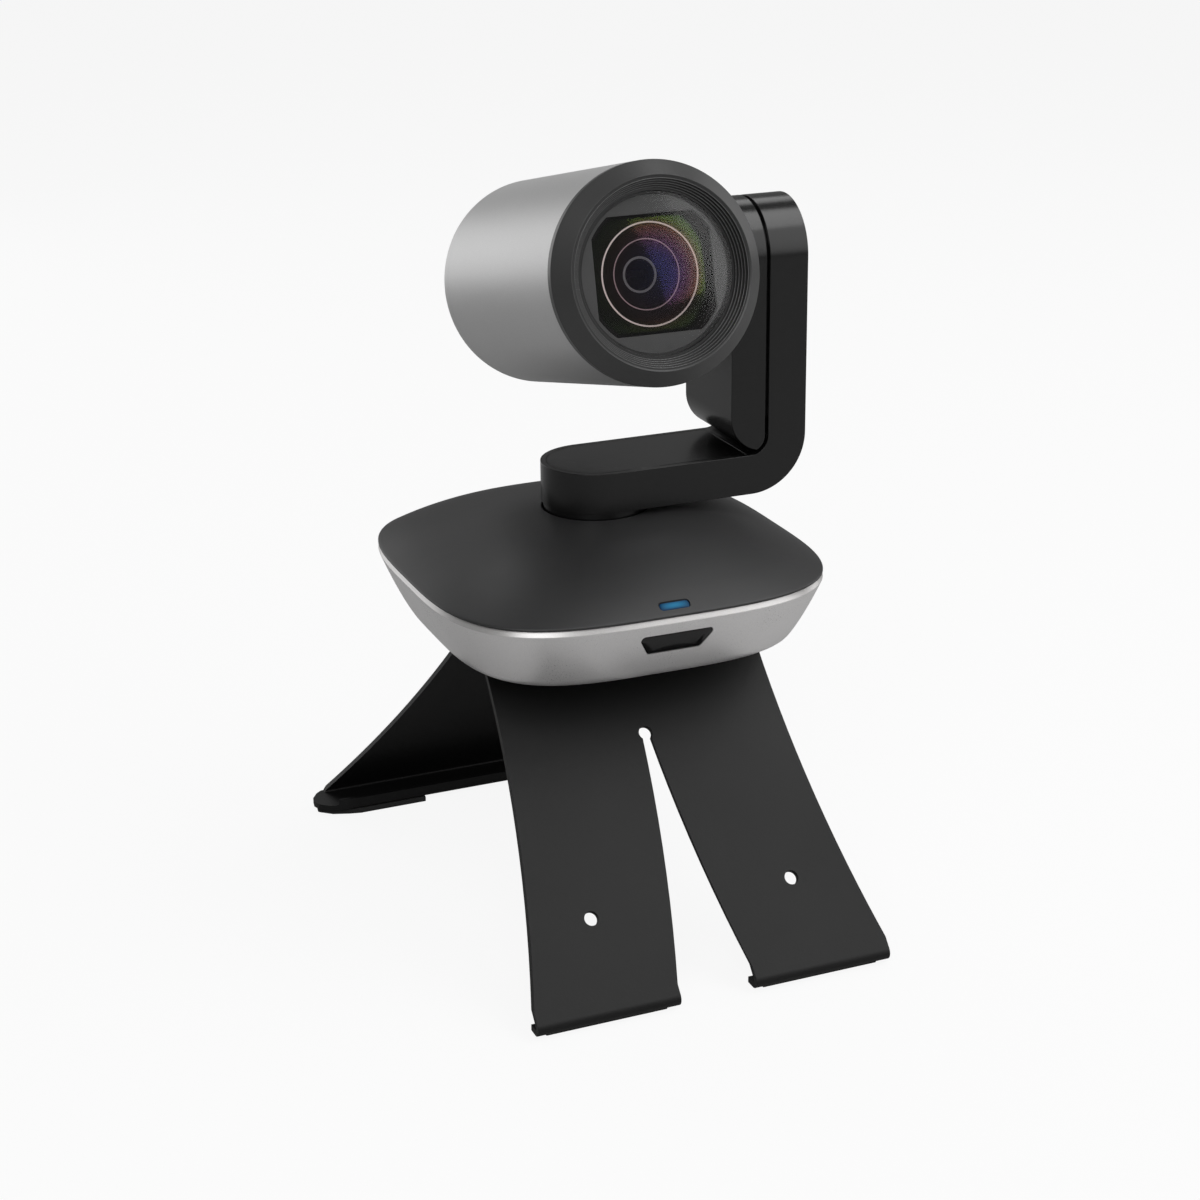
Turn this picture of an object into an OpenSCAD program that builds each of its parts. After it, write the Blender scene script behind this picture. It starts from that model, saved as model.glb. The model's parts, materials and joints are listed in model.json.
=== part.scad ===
// Pan-tilt-zoom conference camera on a folded sheet stand.
// Millimetres, +Z up, lens towards -Y. The origin is on the floor, under the middle of the box round the part.
// Nearly everything is drawn in the camera frame: pan axis at x = y = 0, base underside at z = 0.

/* [Camera base] */
// Width of the base, side to side
base_w = 130; // [120:1:150]
// Depth of the base, front to back
base_d = 131; // [122:1:150]
// Squareness of the base outline, 2 is an ellipse
base_square = 3.5; // [2.5:0.1:5]
// Height of the seam between housing and cover
seam_z = 23; // [21:0.5:28]
// Height of the cover where the neck leaves it
cover_z = 39.5; // [38.5:0.5:42]
// Share of the full outline left at the underside
foot_share = 0.83; // [0.75:0.01:0.9]
// Wall of the moulded base shells
base_wall = 2; // [1.6:0.1:2.6]
// Radius of the neck that turns in the cover
neck_r = 17; // [15.5:0.5:18]
// Thickness of the rubber ring under the base
pad_t = 0.8; // [0.6:0.1:1.5]
// Thickness of the bottom plate
plate_t = 2; // [1.6:0.1:3]
// Width of the status light
led_w = 9.6; // [6:0.2:14]
// Width of the remote-control window along its top edge
window_w = 25.8; // [18:0.2:32]

/* [Arm] */
// Half the depth of the arm and of its bar
arm_half = 17.6; // [16.5:0.1:19]
// Height of the underside of the bar
bar_z = 41.6; // [41:0.1:44]
// Thickness of the bar
bar_t = 13.1; // [12:0.1:15]
// Distance from the pan axis to the outer face of the arm
arm_x = 66.5; // [65:0.5:72]
// Thickness of the upright outer arm
upright_t = 13.3; // [12:0.1:15]
// Thickness of the tilt housing on the inner side of the arm
tilt_house_t = 12; // [11:0.1:13]
// Height of the tilt axis
tilt_z = 118; // [116:0.5:124]
// Outer corner radius of the arm
corner_r = 19; // [14:0.5:22]
// Inner corner radius of the arm
inner_r = 6; // [3:0.5:8]
// Wall of the arm shells
arm_wall = 1.8; // [1.4:0.1:2.4]
// Shadow gap between tilt housing and arm
groove_w = 1.2; // [0.8:0.1:1.8]

/* [Camera head] */
// Radius of the barrel
barrel_r = 33.4; // [32.5:0.1:34.5]
// Distance from the tilt axis to the front edge of the barrel
front_y = 50.6; // [48:0.2:51]
// Distance from the tilt axis to the back of the barrel
rear_y = 51.9; // [48:0.2:52.2]
// Distance from the tilt axis down to the optical axis
axis_drop = 3.9; // [2.5:0.1:4.2]
// Upward tilt at rest, in degrees
rest_tilt = 12.9; // [0:0.1:20]
// Wall of the barrel tube
tube_wall = 2; // [1.5:0.1:2.5]
// Width of the black band in front of the silver tube
bezel_band = 3; // [2:0.1:5]
// How far the bezel lip stands in front of the barrel edge
lip_out = 4; // [2:0.1:4.2]
// Width of the bezel's sloping face, from the barrel's edge to the lip
face_w = 4.7; // [4:0.1:6]
// Width of the steps from the lip in to the front window
step_w = 4.5; // [4:0.1:6]
// Rounding of the back edge of the barrel
rear_round = 4.5; // [4:0.1:7]

/* [Lens] */
// Radius of the front lens element
front_lens_r = 14.8; // [13:0.1:16]
// Radius of the moving lens elements
inner_lens_r = 7.5; // [6:0.1:8]
// Travel of the zoom carriage
zoom_travel = 14; // [8:0.5:16]
// Travel of the focus carriage
focus_travel = 6; // [4:0.5:8]
// Radius of the guide rods
rod_r = 1; // [0.8:0.1:1.3]

/* [Drives] */
// Teeth on the pan gear
pan_teeth = 80; // [70:1:84]
// Teeth on the pan pinion
pan_pinion_teeth = 16; // [14:1:20]
// Module of the pan gears
pan_module = 0.8; // [0.7:0.05:0.85]
// Teeth on the tilt gear
tilt_teeth = 56; // [48:1:58]
// Teeth on the tilt pinion
tilt_pinion_teeth = 14; // [12:1:16]
// Module of the tilt gears
tilt_module = 0.5; // [0.45:0.05:0.5]
// Radius of the pan shaft
pan_shaft_r = 11; // [9:0.5:12]
// Radius of the tilt shaft
tilt_shaft_r = 5; // [4:0.5:6]
// Radial running clearance of shafts and rods
run_gap = 0.05; // [0.02:0.01:0.09]
// Gap between neighbouring pieces that move
move_gap = 0.5; // [0.4:0.1:0.8]

/* [Stand] */
// Height of the camera's underside above the floor
stand_h = 92.5; // [75:0.5:110]
// Thickness of the steel sheet
sheet_t = 2; // [1.6:0.1:2.5]
// Slope of the legs below the horizontal, in degrees
leg_slope = 48.5; // [44:0.5:56]
// Half the width of the front sheet under the camera
front_half = 46.3; // [42:0.1:52]
// Radius of the sweep of the front legs' outer edges
leg_sweep = 280; // [240:1:400]
// Radius of the sweep of the edges between the front legs
gap_sweep = 297; // [270:1:400]
// Half the width across the two front feet
foot_half = 59.3; // [57:0.1:66]
// Distance from the pan axis to the bend of the sheets
bend_y = 17.8; // [14:0.2:24]
// Radius of the screw holes in the legs and of the relief hole
hole_r = 2.25; // [1.5:0.05:3]
// Thickness of the rubber pads under the front legs
front_pad_t = 1; // [0.8:0.1:2]
// Half the width of the back leg under the camera
back_half = 37.5; // [30:0.5:44]
// Radius of the sweep of the back leg's flared edge
back_sweep = 275; // [250:1:310]
// How far the back foot reaches to the side of its flared edge
foot_reach_left = 76; // [72:0.5:84]
// How far the back foot reaches to its straight side
foot_reach_right = 49; // [44:0.5:60]
// Radius of the camera screw
screw_r = 3.15; // [3:0.01:3.25]

/* [Hidden] */
$fn = 64;
eps = 0.01;

cover_color = [0.23, 0.23, 0.235];
silver_color = [0.70, 0.69, 0.68];
arm_color = [0.16, 0.16, 0.165];
sheet_color = [0.15, 0.15, 0.15];
steel_color = [0.72, 0.73, 0.75];
brass_color = [0.80, 0.66, 0.36];
board_color = [0.10, 0.32, 0.18];
black_color = [0.06, 0.06, 0.065];
glass_color = [0.35, 0.38, 0.50];
rubber_color = [0.09, 0.09, 0.09];

// Camera base levels
plate_z = pad_t + plate_t;
lip_h = 0.9;
outline_points = 72;
neck_hole_r = neck_r + move_gap;

// Stand levels and reaches
back_pad_t = 2;
sheet_curl = 0.6;
bend_r = 4;
foot_depth = 17;

// The length of straight sheet between the top bend and the curl at its foot
function slope_run(drop, curl) =
    (drop - (bend_r + sheet_t) * (1 - cos(leg_slope)) - (curl + sheet_t) * (cos(leg_slope) + 1)) / sin(leg_slope);
function bend_tangent() = (bend_r + sheet_t) * tan(leg_slope / 2);
// Distance from the pan axis to the outermost point of a sheet's foot
function foot_reach(drop, curl) =
    bend_y - bend_tangent() + (bend_r + sheet_t) * sin(leg_slope) + slope_run(drop, curl) * cos(leg_slope)
    + (curl + sheet_t) * (1 - sin(leg_slope));

front_drop = stand_h - front_pad_t;
back_drop = stand_h - sheet_t - back_pad_t;
front_reach = foot_reach(front_drop, sheet_curl);
back_reach = foot_reach(back_drop, sheet_curl);

// The pan axis in the part's own frame, whose origin is the middle of its box on the floor
pan_x = (foot_reach_left - arm_x) / 2;
pan_y = (front_reach - back_reach) / 2;

// Arm levels
bar_top = bar_z + bar_t;
upright_x = arm_x - upright_t;
house_x1 = upright_x - groove_w;
house_x0 = house_x1 - tilt_house_t;

module at_camera() translate([pan_x, pan_y, stand_h]) children();
// The head frame: y along the optical axis with the lens towards -Y, z = axis_drop on the tilt axis
module at_head()
    at_camera() translate([0, 0, tilt_z]) rotate([-rest_tilt, 0, 0]) translate([0, 0, -axis_drop]) children();
module along_x(x) translate([x, 0, 0]) rotate([0, 90, 0]) children();
module along_y(y) translate([0, y, 0]) rotate([-90, 0, 0]) children();

/* ---- shared shapes ---- */

function sgn_pow(v, p) = sign(v) * pow(abs(v), p);
function outline(share, square, z, points = outline_points) = [
    for (i = [0:points - 1]) let (t = 360 * i / points)
        [share * base_w / 2 * sgn_pow(cos(t), 2 / square), share * base_d / 2 * sgn_pow(sin(t), 2 / square), z]
];
function inset_outline(share, square, inset, z) = [
    for (p = outline(1, square, z))
        [p[0] * (share - 2 * inset / base_w), p[1] * (share - 2 * inset / base_d), z]
];
function circle_ring(r, z) = [
    for (i = [0:outline_points - 1]) let (t = 360 * i / outline_points) [r * cos(t), r * sin(t), z]
];
// A closed wall through rings of points, the last ring joined to the first
module wall_through(rings) {
    count = len(rings);
    n = outline_points;
    polyhedron(
        points = [for (ring = rings) for (p = ring) p],
        faces = [
            for (r = [0:count - 1]) for (i = [0:n - 1])
                let (a = r * n + i, b = r * n + (i + 1) % n, c = ((r + 1) % count) * n + (i + 1) % n,
                     d = ((r + 1) % count) * n + i)
                each [[a, c, b], [a, d, c]]
        ],
        convexity = 6
    );
}
// Share of the full outline at height z of the housing
function housing_share(z) = foot_share + (1 - foot_share) * pow(max(z, 0) / (seam_z - 1.7), 0.75);
// Height of the cover at a share k of the full outline
neck_share = neck_hole_r / (base_w / 2);
function cover_height(k) =
    cover_z - (cover_z - seam_z - lip_h) * pow((k - neck_share) / (1 - neck_share), 2);

module gear(teeth, mod, width, bore_r, backlash = 0.12) {
    pitch = teeth * mod / 2;
    root = pitch - 1.25 * mod;
    tip = pitch + 0.9 * mod;
    step = 360 / teeth;
    half_pitch = (step / 4) - backlash / pitch * 90 / PI;
    difference() {
        linear_extrude(width, convexity = 8) union() {
            circle(root + eps);
            for (i = [0:teeth - 1]) rotate(i * step) polygon([
                [root * cos(half_pitch * 1.5) - 0.2, -root * sin(half_pitch * 1.5)],
                [pitch * cos(half_pitch), -pitch * sin(half_pitch)],
                [tip * cos(half_pitch * 0.45), -tip * sin(half_pitch * 0.45)],
                [tip * cos(half_pitch * 0.45), tip * sin(half_pitch * 0.45)],
                [pitch * cos(half_pitch), pitch * sin(half_pitch)],
                [root * cos(half_pitch * 1.5) - 0.2, root * sin(half_pitch * 1.5)]
            ]);
        }
        translate([0, 0, -1]) cylinder(r = bore_r, h = width + 2);
    }
}
module ring(outer, inner, height) difference() {
    cylinder(r = outer, h = height);
    translate([0, 0, -1]) cylinder(r = inner, h = height + 2);
}
module plate_outline(share, square, height)
    linear_extrude(height) polygon([for (p = outline(share, square, 0)) [p[0], p[1]]]);

/* ---- camera base ---- */

cover_shares = [1, 0.97, 0.92, 0.84, 0.74, 0.62, 0.5, 0.38];
function cover_square(k) = 2 + (base_square - 2) * pow((k - neck_share) / (1 - neck_share), 0.4);
seam_gap = 0.25;
screw_spots = [for (x = [-1, 1]) for (y = [-1, 1]) [x * (base_w / 2 - 27), y * (base_d / 2 - 27.5)]];
base_screw_r = 1.4;
screw_boss_r = 3.4;
screw_depth = 12;

module base_cover() color(cover_color) at_camera() difference() {
    union() {
        wall_through(concat(
            [outline(1, base_square, seam_z + seam_gap)],
            [for (k = cover_shares) outline(k, cover_square(k), cover_height(k))],
            [circle_ring(neck_hole_r, cover_z), circle_ring(neck_hole_r, cover_z - base_wall)],
            [for (i = [len(cover_shares) - 1:-1:2]) let (k = cover_shares[i])
                inset_outline(k, cover_square(k), base_wall * k * k, cover_height(k) - base_wall)],
            [inset_outline(1, base_square, base_wall, seam_z + seam_gap)]
        ));
        for (p = screw_spots) translate([p[0], p[1], plate_z]) difference() {
            cylinder(r = screw_boss_r, h = boss_top(p) - plate_z);
            translate([0, 0, -1]) cylinder(r = base_screw_r + run_gap, h = screw_depth + 2);
        }
    }
    light_slot(0.1);
}
// Where a boss at p ends, inside the wall of the cover
function boss_share(p) =
    pow(pow(abs(p[0]) / (base_w / 2), base_square) + pow(abs(p[1]) / (base_d / 2), base_square), 1 / base_square);
function boss_top(p) = cover_height(boss_share(p)) - base_wall * 0.95;

light_share = 0.95;
light_y = -light_share * base_d / 2;
light_half_d = 1.9;
module light_slot(gap) translate([-led_w / 2 - gap, light_y - light_half_d - gap, seam_z])
    cube([led_w + 2 * gap, 2 * (light_half_d + gap), cover_z - seam_z]);
module status_light() color([0.15, 0.45, 0.75]) at_camera() {
    front = light_y - light_half_d;
    back = light_y + light_half_d;
    front_z = cover_height(-front / (base_d / 2));
    back_z = cover_height(-back / (base_d / 2));
    translate([-led_w / 2, 0, 0]) rotate([90, 0, 90]) linear_extrude(led_w)
        polygon([[front, front_z], [back, back_z], [back, back_z - 5], [front + 1.9, back_z - 5],
                 [front + 1.9, front_z - 1.4], [front, front_z - 1.4]]);
}

housing_levels = [18, 14, 10, 6, 3];
ledge_w = 4;
module base_housing() color(silver_color) at_camera() difference() {
    wall_through(concat(
        [inset_outline(1, base_square, base_wall, seam_z),
         inset_outline(1, base_square, base_wall, seam_z - 1.7)],
        [for (z = housing_levels) if (z > plate_z + 1) inset_outline(housing_share(z), base_square, base_wall, z)],
        [inset_outline(housing_share(plate_z), base_square, base_wall, plate_z + 0.5),
         inset_outline(housing_share(pad_t), base_square, ledge_w, plate_z + 0.4),
         inset_outline(housing_share(pad_t), base_square, ledge_w, pad_t),
         outline(housing_share(pad_t), base_square, pad_t)],
        [for (i = [len(housing_levels) - 1:-1:0]) let (z = housing_levels[i])
            outline(housing_share(z), base_square, z)],
        [outline(1, base_square, seam_z - 1.7), outline(1 - 1 / base_w, base_square, seam_z)]
    ));
    window_prism(0.12, -base_d / 2 - 2, -base_d / 2 + 14);
    translate([power_x, base_d / 2 - 12, port_z]) rotate([-90, 0, 0]) cylinder(r = power_hole_r, h = 14);
    translate([data_x - data_w / 2, base_d / 2 - 12, port_z - data_h / 2]) cube([data_w, 14, data_h]);
    translate([lock_x - lock_w / 2, base_d / 2 - 12, port_z - lock_h / 2]) cube([lock_w, 14, lock_h]);
}

window_top = 17.5;
window_bottom = 10.7;
window_taper = 4.2;
module window_prism(gap, y0, y1) translate([0, y1, 0]) rotate([90, 0, 0]) linear_extrude(y1 - y0)
    polygon([[-window_w / 2 - gap, window_top + gap], [window_w / 2 + gap, window_top + gap],
             [window_w / 2 - window_taper + gap, window_bottom - gap],
             [-window_w / 2 + window_taper - gap, window_bottom - gap]]);
module remote_window() color(black_color) at_camera() intersection() {
    window_prism(0, -base_d / 2 - 1, -base_d / 2 + 12);
    top_y = -housing_share(window_top) * base_d / 2;
    bottom_y = -housing_share(window_bottom) * base_d / 2;
    translate([-window_w, 0, 0]) rotate([90, 0, 90]) linear_extrude(2 * window_w)
        polygon([[top_y, window_top], [bottom_y, window_bottom],
                 [bottom_y + base_wall, window_bottom], [top_y + base_wall, window_top]]);
}

insert_r = 5;
insert_h = 9;
post_x = base_w / 2 - 24;
post_y = 17;
post_spots = [for (x = [-1, 1]) for (y = [-1, 1]) [x * post_x, y * post_y]];
board_z = 8;
board_t = 1.6;
port_back = housing_share(board_z + board_t) * base_d / 2 - base_wall - 1;
board_w = base_w - 62;
board_y0 = 13;
board_y1 = port_back - 5.5;
board_posts = [for (x = [-1, 1]) for (y = [board_y0 + 5, board_y1 - 6]) [x * (board_w / 2 - 5), y]];
module bottom_plate() color(cover_color) at_camera() difference() {
    union() {
        translate([0, 0, pad_t])
            plate_outline(housing_share(pad_t) - 2 * (ledge_w + 0.2) / base_w, base_square, plate_t);
        translate([0, 0, pad_t]) cylinder(r = insert_r + 2.5, h = insert_h + 0.5);
        for (p = board_posts) translate([p[0], p[1], pad_t]) cylinder(r = 2.6, h = board_z - pad_t);
    }
    translate([0, 0, -1]) cylinder(r = insert_r, h = insert_h + 4);
    for (p = screw_spots) translate([p[0], p[1], -1]) {
        cylinder(r = base_screw_r + 0.3, h = 10);
        cylinder(r = 2.9, h = 1 + pad_t + 1);
    }
}
module base_pad() color(rubber_color) at_camera() ring(14.5, 10, pad_t);
module tripod_insert() color(brass_color) at_camera() translate([0, 0, pad_t])
    ring(insert_r, screw_r + run_gap, insert_h);
module base_screws() color(steel_color) at_camera() for (p = screw_spots) translate([p[0], p[1], 0]) {
    translate([0, 0, pad_t + 0.2]) difference() {
        cylinder(r = 2.7, h = 0.8);
        translate([0, 0, -1]) cylinder(r = 1.1, h = 1.5, $fn = 6);
    }
    translate([0, 0, pad_t + 0.8]) cylinder(r = base_screw_r, h = screw_depth + 0.2);
}

power_x = -20;
power_hole_r = 4;
data_x = 4;
data_w = 13;
data_h = 6;
lock_x = 32;
lock_w = 7;
lock_h = 3;
port_z = 14;
module main_board() color(board_color) at_camera() {
    translate([-board_w / 2, board_y0, board_z]) cube([board_w, board_y1 - board_y0, board_t]);
    translate([-9, 22, board_z + board_t - eps]) cube([18, 18, 1.6]);
    translate([-28, 18, board_z + board_t - eps]) cube([10, 8, 1.2]);
    for (x = [14:5:24]) translate([x, 24, board_z + board_t - eps]) cylinder(r = 2, h = 4);
}
port_out = housing_share(port_z) * base_d / 2 - 0.3;
module power_socket() color(black_color) at_camera() difference() {
    union() {
        translate([power_x - 5, port_back - 13, board_z + board_t]) cube([10, 13, 9.5]);
        translate([power_x, port_back - 1, port_z]) rotate([-90, 0, 0])
            cylinder(r = power_hole_r - 0.15, h = port_out - port_back + 1);
    }
    translate([power_x, port_back - 7, port_z]) rotate([-90, 0, 0]) difference() {
        cylinder(r = 2.75, h = 14);
        translate([0, 0, -1]) cylinder(r = 0.9, h = 8);
    }
}
module data_socket() color(black_color) at_camera() difference() {
    union() {
        translate([data_x - 7.5, port_back - 13, board_z + board_t]) cube([15, 13, 9]);
        translate([data_x - data_w / 2 + 0.15, port_back - 1, port_z - data_h / 2 + 0.15])
            cube([data_w - 0.3, port_out - port_back + 1, data_h - 0.3]);
    }
    translate([data_x - data_w / 2 + 1, port_back - 6, port_z - data_h / 2 + 0.9]) difference() {
        cube([data_w - 2, 14, data_h - 1.8]);
        translate([1.5, -1, 1.5]) cube([data_w - 5, 8, 1.2]);
    }
}
module front_board() color(board_color) at_camera() {
    y = -housing_share(pad_t) * base_d / 2 + 1.4;
    translate([-15, y, plate_z + 0.6]) cube([30, board_t, seam_z - plate_z - 2.2]);
    translate([-4, y - 3.4, window_bottom + 0.5]) cube([8, 3.4 + eps, 6]);
    translate([-2, y - 2, seam_z - 5]) cube([4, 2 + eps, 3]);
}

chassis_z = 18;
chassis_t = 2.4;
pan_distance = (pan_teeth + pan_pinion_teeth) * pan_module / 2;
pan_motor_turn = 225;
motor_r = 10;
bush_wall = 2.4;
bush_r = pan_shaft_r + bush_wall;
bush_z0 = 15;
bush_z1 = 27;
pan_gear_z = 29;
pan_gear_t = 4;
module at_pan_motor() rotate(pan_motor_turn) translate([pan_distance, 0, 0]) children();
module chassis_plate() color(steel_color) at_camera() difference() {
    union() {
        translate([0, 0, chassis_z]) linear_extrude(height = chassis_t) difference() {
            union() {
                square(2 * [post_x + 5, post_y + 5.7], center = true);
                rotate(pan_motor_turn) {
                    translate([0, 1 - motor_r]) square([pan_distance, 2 * motor_r - 2]);
                    translate([pan_distance, 0]) circle(motor_r + 1);
                }
            }
            rotate(pan_motor_turn) translate([pan_distance, 0]) circle(3.5);
        }
        translate([0, 0, bush_z0]) cylinder(r = bush_r + 2, h = bush_z1 - bush_z0);
        for (p = post_spots) translate([p[0], p[1], plate_z]) cylinder(r = 3, h = chassis_z - plate_z + 1);
    }
    translate([0, 0, bush_z0 - 1]) cylinder(r = bush_r, h = bush_z1 - bush_z0 + 2);
}
module pan_bearing() color(brass_color) at_camera() {
    translate([0, 0, bush_z0]) ring(bush_r, pan_shaft_r + run_gap, bush_z1 - bush_z0);
    translate([0, 0, bush_z1]) ring(bush_r + 1.5, pan_shaft_r + run_gap, 1.2);
}
motor_shaft_r = 1.5;
module pan_motor() color(steel_color) at_camera() at_pan_motor() translate([0, 0, plate_z + 3]) difference() {
    union() {
        cylinder(r = motor_r, h = chassis_z - plate_z - 3);
        translate([0, 0, -1.5]) cylinder(r = motor_r - 3, h = 2);
    }
    translate([0, 0, 3]) cylinder(r = motor_shaft_r + run_gap, h = chassis_z);
}
module pan_pinion() color(brass_color) at_camera() at_pan_motor() {
    translate([0, 0, pan_gear_z - 0.5]) rotate(180 + 180 / pan_pinion_teeth)
        gear(pan_pinion_teeth, pan_module, pan_gear_t + 1, motor_shaft_r);
    translate([0, 0, plate_z + 7]) cylinder(r = motor_shaft_r, h = pan_gear_z + pan_gear_t - plate_z - 5);
}

/* ---- turning arm ---- */

neck_z = cover_z - 3;
shaft_bottom = bush_z0 - 3;
clip_t = 1.2;
module pan_shaft() color(arm_color) at_camera() difference() {
    union() {
        translate([0, 0, shaft_bottom]) cylinder(r = pan_shaft_r, h = bar_z - shaft_bottom);
        translate([0, 0, neck_z]) cylinder(r = neck_r, h = bar_z - neck_z);
    }
    translate([0, 0, shaft_bottom - 1]) cylinder(r = pan_shaft_r - 4, h = bar_z);
    translate([0, 0, shaft_bottom + 1]) difference() {
        cylinder(r = pan_shaft_r + 1, h = clip_t);
        translate([0, 0, -1]) cylinder(r = pan_shaft_r - 1, h = clip_t + 2);
    }
}
module pan_clip() color(steel_color) at_camera() translate([0, 0, shaft_bottom + 1]) difference() {
    ring(pan_shaft_r + 2, pan_shaft_r - 1, clip_t);
    translate([-1.5, 0, -1]) cube([3, pan_shaft_r + 3, clip_t + 2]);
}
module pan_gear() color([0.85, 0.85, 0.82]) at_camera() translate([0, 0, pan_gear_z]) difference() {
    rotate(pan_motor_turn) gear(pan_teeth, pan_module, pan_gear_t, pan_shaft_r);
    for (i = [0:5]) rotate(60 * i + 30) translate([(pan_shaft_r + pan_teeth * pan_module / 2) / 2, 0, -1])
        cylinder(r = 5, h = pan_gear_t + 2);
}

// The bent bar seen from the front, drawn in by an inset on every side
module bar_section(inset) difference() {
    union() {
        translate([-arm_half + inset, bar_z + inset]) square([arm_x + arm_half - 2 * inset, bar_t - 2 * inset]);
        translate([upright_x + inset, bar_z + inset])
            square([upright_t - 2 * inset, tilt_z - bar_z + arm_half - 2 * inset]);
        translate([upright_x - inner_r, bar_top - inset - eps])
            square([inner_r + inset + eps, inner_r + inset + eps]);
    }
    translate([upright_x - inner_r, bar_top + inner_r]) circle(inner_r + inset);
    translate([arm_x - corner_r, bar_z]) difference() {
        translate([0, -1]) square([corner_r + 1, corner_r + 1]);
        translate([0, corner_r]) circle(corner_r - inset);
    }
}
// Rounds the bar's end about the pan axis and the arm's top about the tilt axis
module arm_limit(half) union() {
    translate([0, 0, bar_z - 1]) linear_extrude(tilt_z - bar_z + 1) union() {
        circle(half);
        translate([0, -half]) square([arm_x + 1, 2 * half]);
    }
    translate([0, 0, tilt_z]) along_x(0) cylinder(r = half, h = arm_x + 1);
}
module arm_form(inset) intersection() {
    rotate([90, 0, 0]) linear_extrude(2 * arm_half + 2, center = true) bar_section(inset);
    arm_limit(arm_half - inset);
}
lid_half = arm_half - arm_wall;
lid_end = upright_x - inner_r - 1;
wire_r = pan_shaft_r - 4;
module arm_frame() color(arm_color) at_camera() difference() {
    arm_form(0);
    arm_form(arm_wall);
    translate([0, 0, bar_top - arm_wall - 1]) linear_extrude(arm_wall + 2) union() {
        circle(lid_half);
        translate([0, -lid_half]) square([lid_end, 2 * lid_half]);
    }
    translate([0, 0, bar_z - 1]) cylinder(r = wire_r, h = arm_wall + 2);
    for (p = arm_screw_spots) translate([p[0], p[1], bar_z - 1]) {
        cylinder(r = arm_screw_r + run_gap, h = arm_wall + 2);
        cylinder(r = arm_head_r + 0.1, h = 1.9);
    }
    side_opening(upright_x - 1, upright_x + arm_wall + 1, lid_half - 0.5);
}
// The opening between tilt housing and upright, for the gear and wires
module side_opening(x0, x1, half) {
    translate([0, 0, tilt_z]) along_x(x0) cylinder(r = half, h = x1 - x0);
    translate([x0, -half, bar_top + inner_r + 6]) cube([x1 - x0, 2 * half, tilt_z - bar_top - inner_r - 6]);
}
module bar_lid() color(arm_color) at_camera() translate([0, 0, bar_top - arm_wall])
    linear_extrude(arm_wall) union() {
        circle(lid_half - 0.1);
        translate([0, 0.1 - lid_half]) square([lid_end - 0.1, 2 * lid_half - 0.2]);
    }

// The tilt housing seen from the front
module house_section(inset) difference() {
    union() {
        translate([house_x0 + inset, bar_top + groove_w + tilt_house_t])
            square([tilt_house_t - inset + (inset > 0 ? eps : 0), tilt_z - bar_top - groove_w - tilt_house_t
                + arm_half - inset]);
        intersection() {
            translate([house_x1, bar_top + groove_w + tilt_house_t]) circle(tilt_house_t - inset);
            translate([house_x0, bar_top]) square([tilt_house_t + (inset > 0 ? eps : 0), tilt_house_t + groove_w]);
        }
    }
    translate([upright_x - inner_r, bar_top + inner_r]) difference() {
        translate([0, -inner_r]) square([inner_r, inner_r]);
        circle(inner_r - groove_w - inset);
    }
}
module house_form(inset) intersection() {
    rotate([90, 0, 0]) linear_extrude(2 * arm_half + 2, center = true) house_section(inset);
    arm_limit(arm_half - inset);
}
tilt_bush_r = tilt_shaft_r + 2.3;
tilt_bush_l = 8;
module tilt_housing() color(arm_color) at_camera() difference() {
    union() {
        difference() {
            house_form(0);
            house_form(arm_wall);
        }
        translate([0, 0, tilt_z]) along_x(house_x0 + eps) cylinder(r = tilt_bush_r + 2, h = tilt_bush_l);
        difference() {
            side_opening(house_x1 - 1, upright_x, arm_half - 1.4);
            side_opening(house_x1 - 2, upright_x + 1, arm_half - arm_wall - 1);
        }
    }
    translate([0, 0, tilt_z]) along_x(house_x0 - 1) cylinder(r = tilt_bush_r, h = tilt_bush_l + 3);
}
module tilt_bearing() color(brass_color) at_camera() translate([0, 0, tilt_z]) along_x(house_x0 + 0.4)
    ring(tilt_bush_r, tilt_shaft_r + run_gap, tilt_bush_l);

tilt_distance = (tilt_teeth + tilt_pinion_teeth) * tilt_module / 2;
tilt_motor_r = tilt_distance - tilt_bush_r - 2.5;
tilt_gear_x = house_x1 + 1;
tilt_gear_t = 3;
module at_tilt_motor() at_camera() translate([0, 0, tilt_z - tilt_distance]) children();
module tilt_motor() color(steel_color) at_tilt_motor() difference() {
    along_x(house_x0 + arm_wall) cylinder(r = tilt_motor_r, h = tilt_house_t - arm_wall - 1);
    along_x(house_x0 + arm_wall + 2) cylinder(r = 1 + run_gap, h = tilt_house_t);
}
module tilt_pinion() color(brass_color) at_tilt_motor() {
    along_x(tilt_gear_x - 0.5) rotate(180 / tilt_pinion_teeth + 180)
        gear(tilt_pinion_teeth, tilt_module, tilt_gear_t + 1, 1, 0.08);
    along_x(house_x0 + arm_wall + 4) cylinder(r = 1, h = tilt_gear_x + tilt_gear_t - house_x0 - arm_wall - 4);
}
arm_screw_spots = [for (x = [lid_end - 20, lid_end - 5]) for (y = [-1, 1]) [x, y * arm_half / 2]];
arm_screw_r = 1.2;
arm_head_r = 2.4;
module arm_screws() color(steel_color) at_camera() for (p = arm_screw_spots) translate([p[0], p[1], bar_z]) {
    translate([0, 0, 0.1]) difference() {
        cylinder(r = arm_head_r, h = 0.8);
        translate([0, 0, -1]) cylinder(r = 1, h = 1.5, $fn = 6);
    }
    translate([0, 0, 0.7]) cylinder(r = arm_screw_r, h = bar_t - arm_wall - 0.7);
}

/* ---- camera head, drawn along the optical axis ---- */

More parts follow.
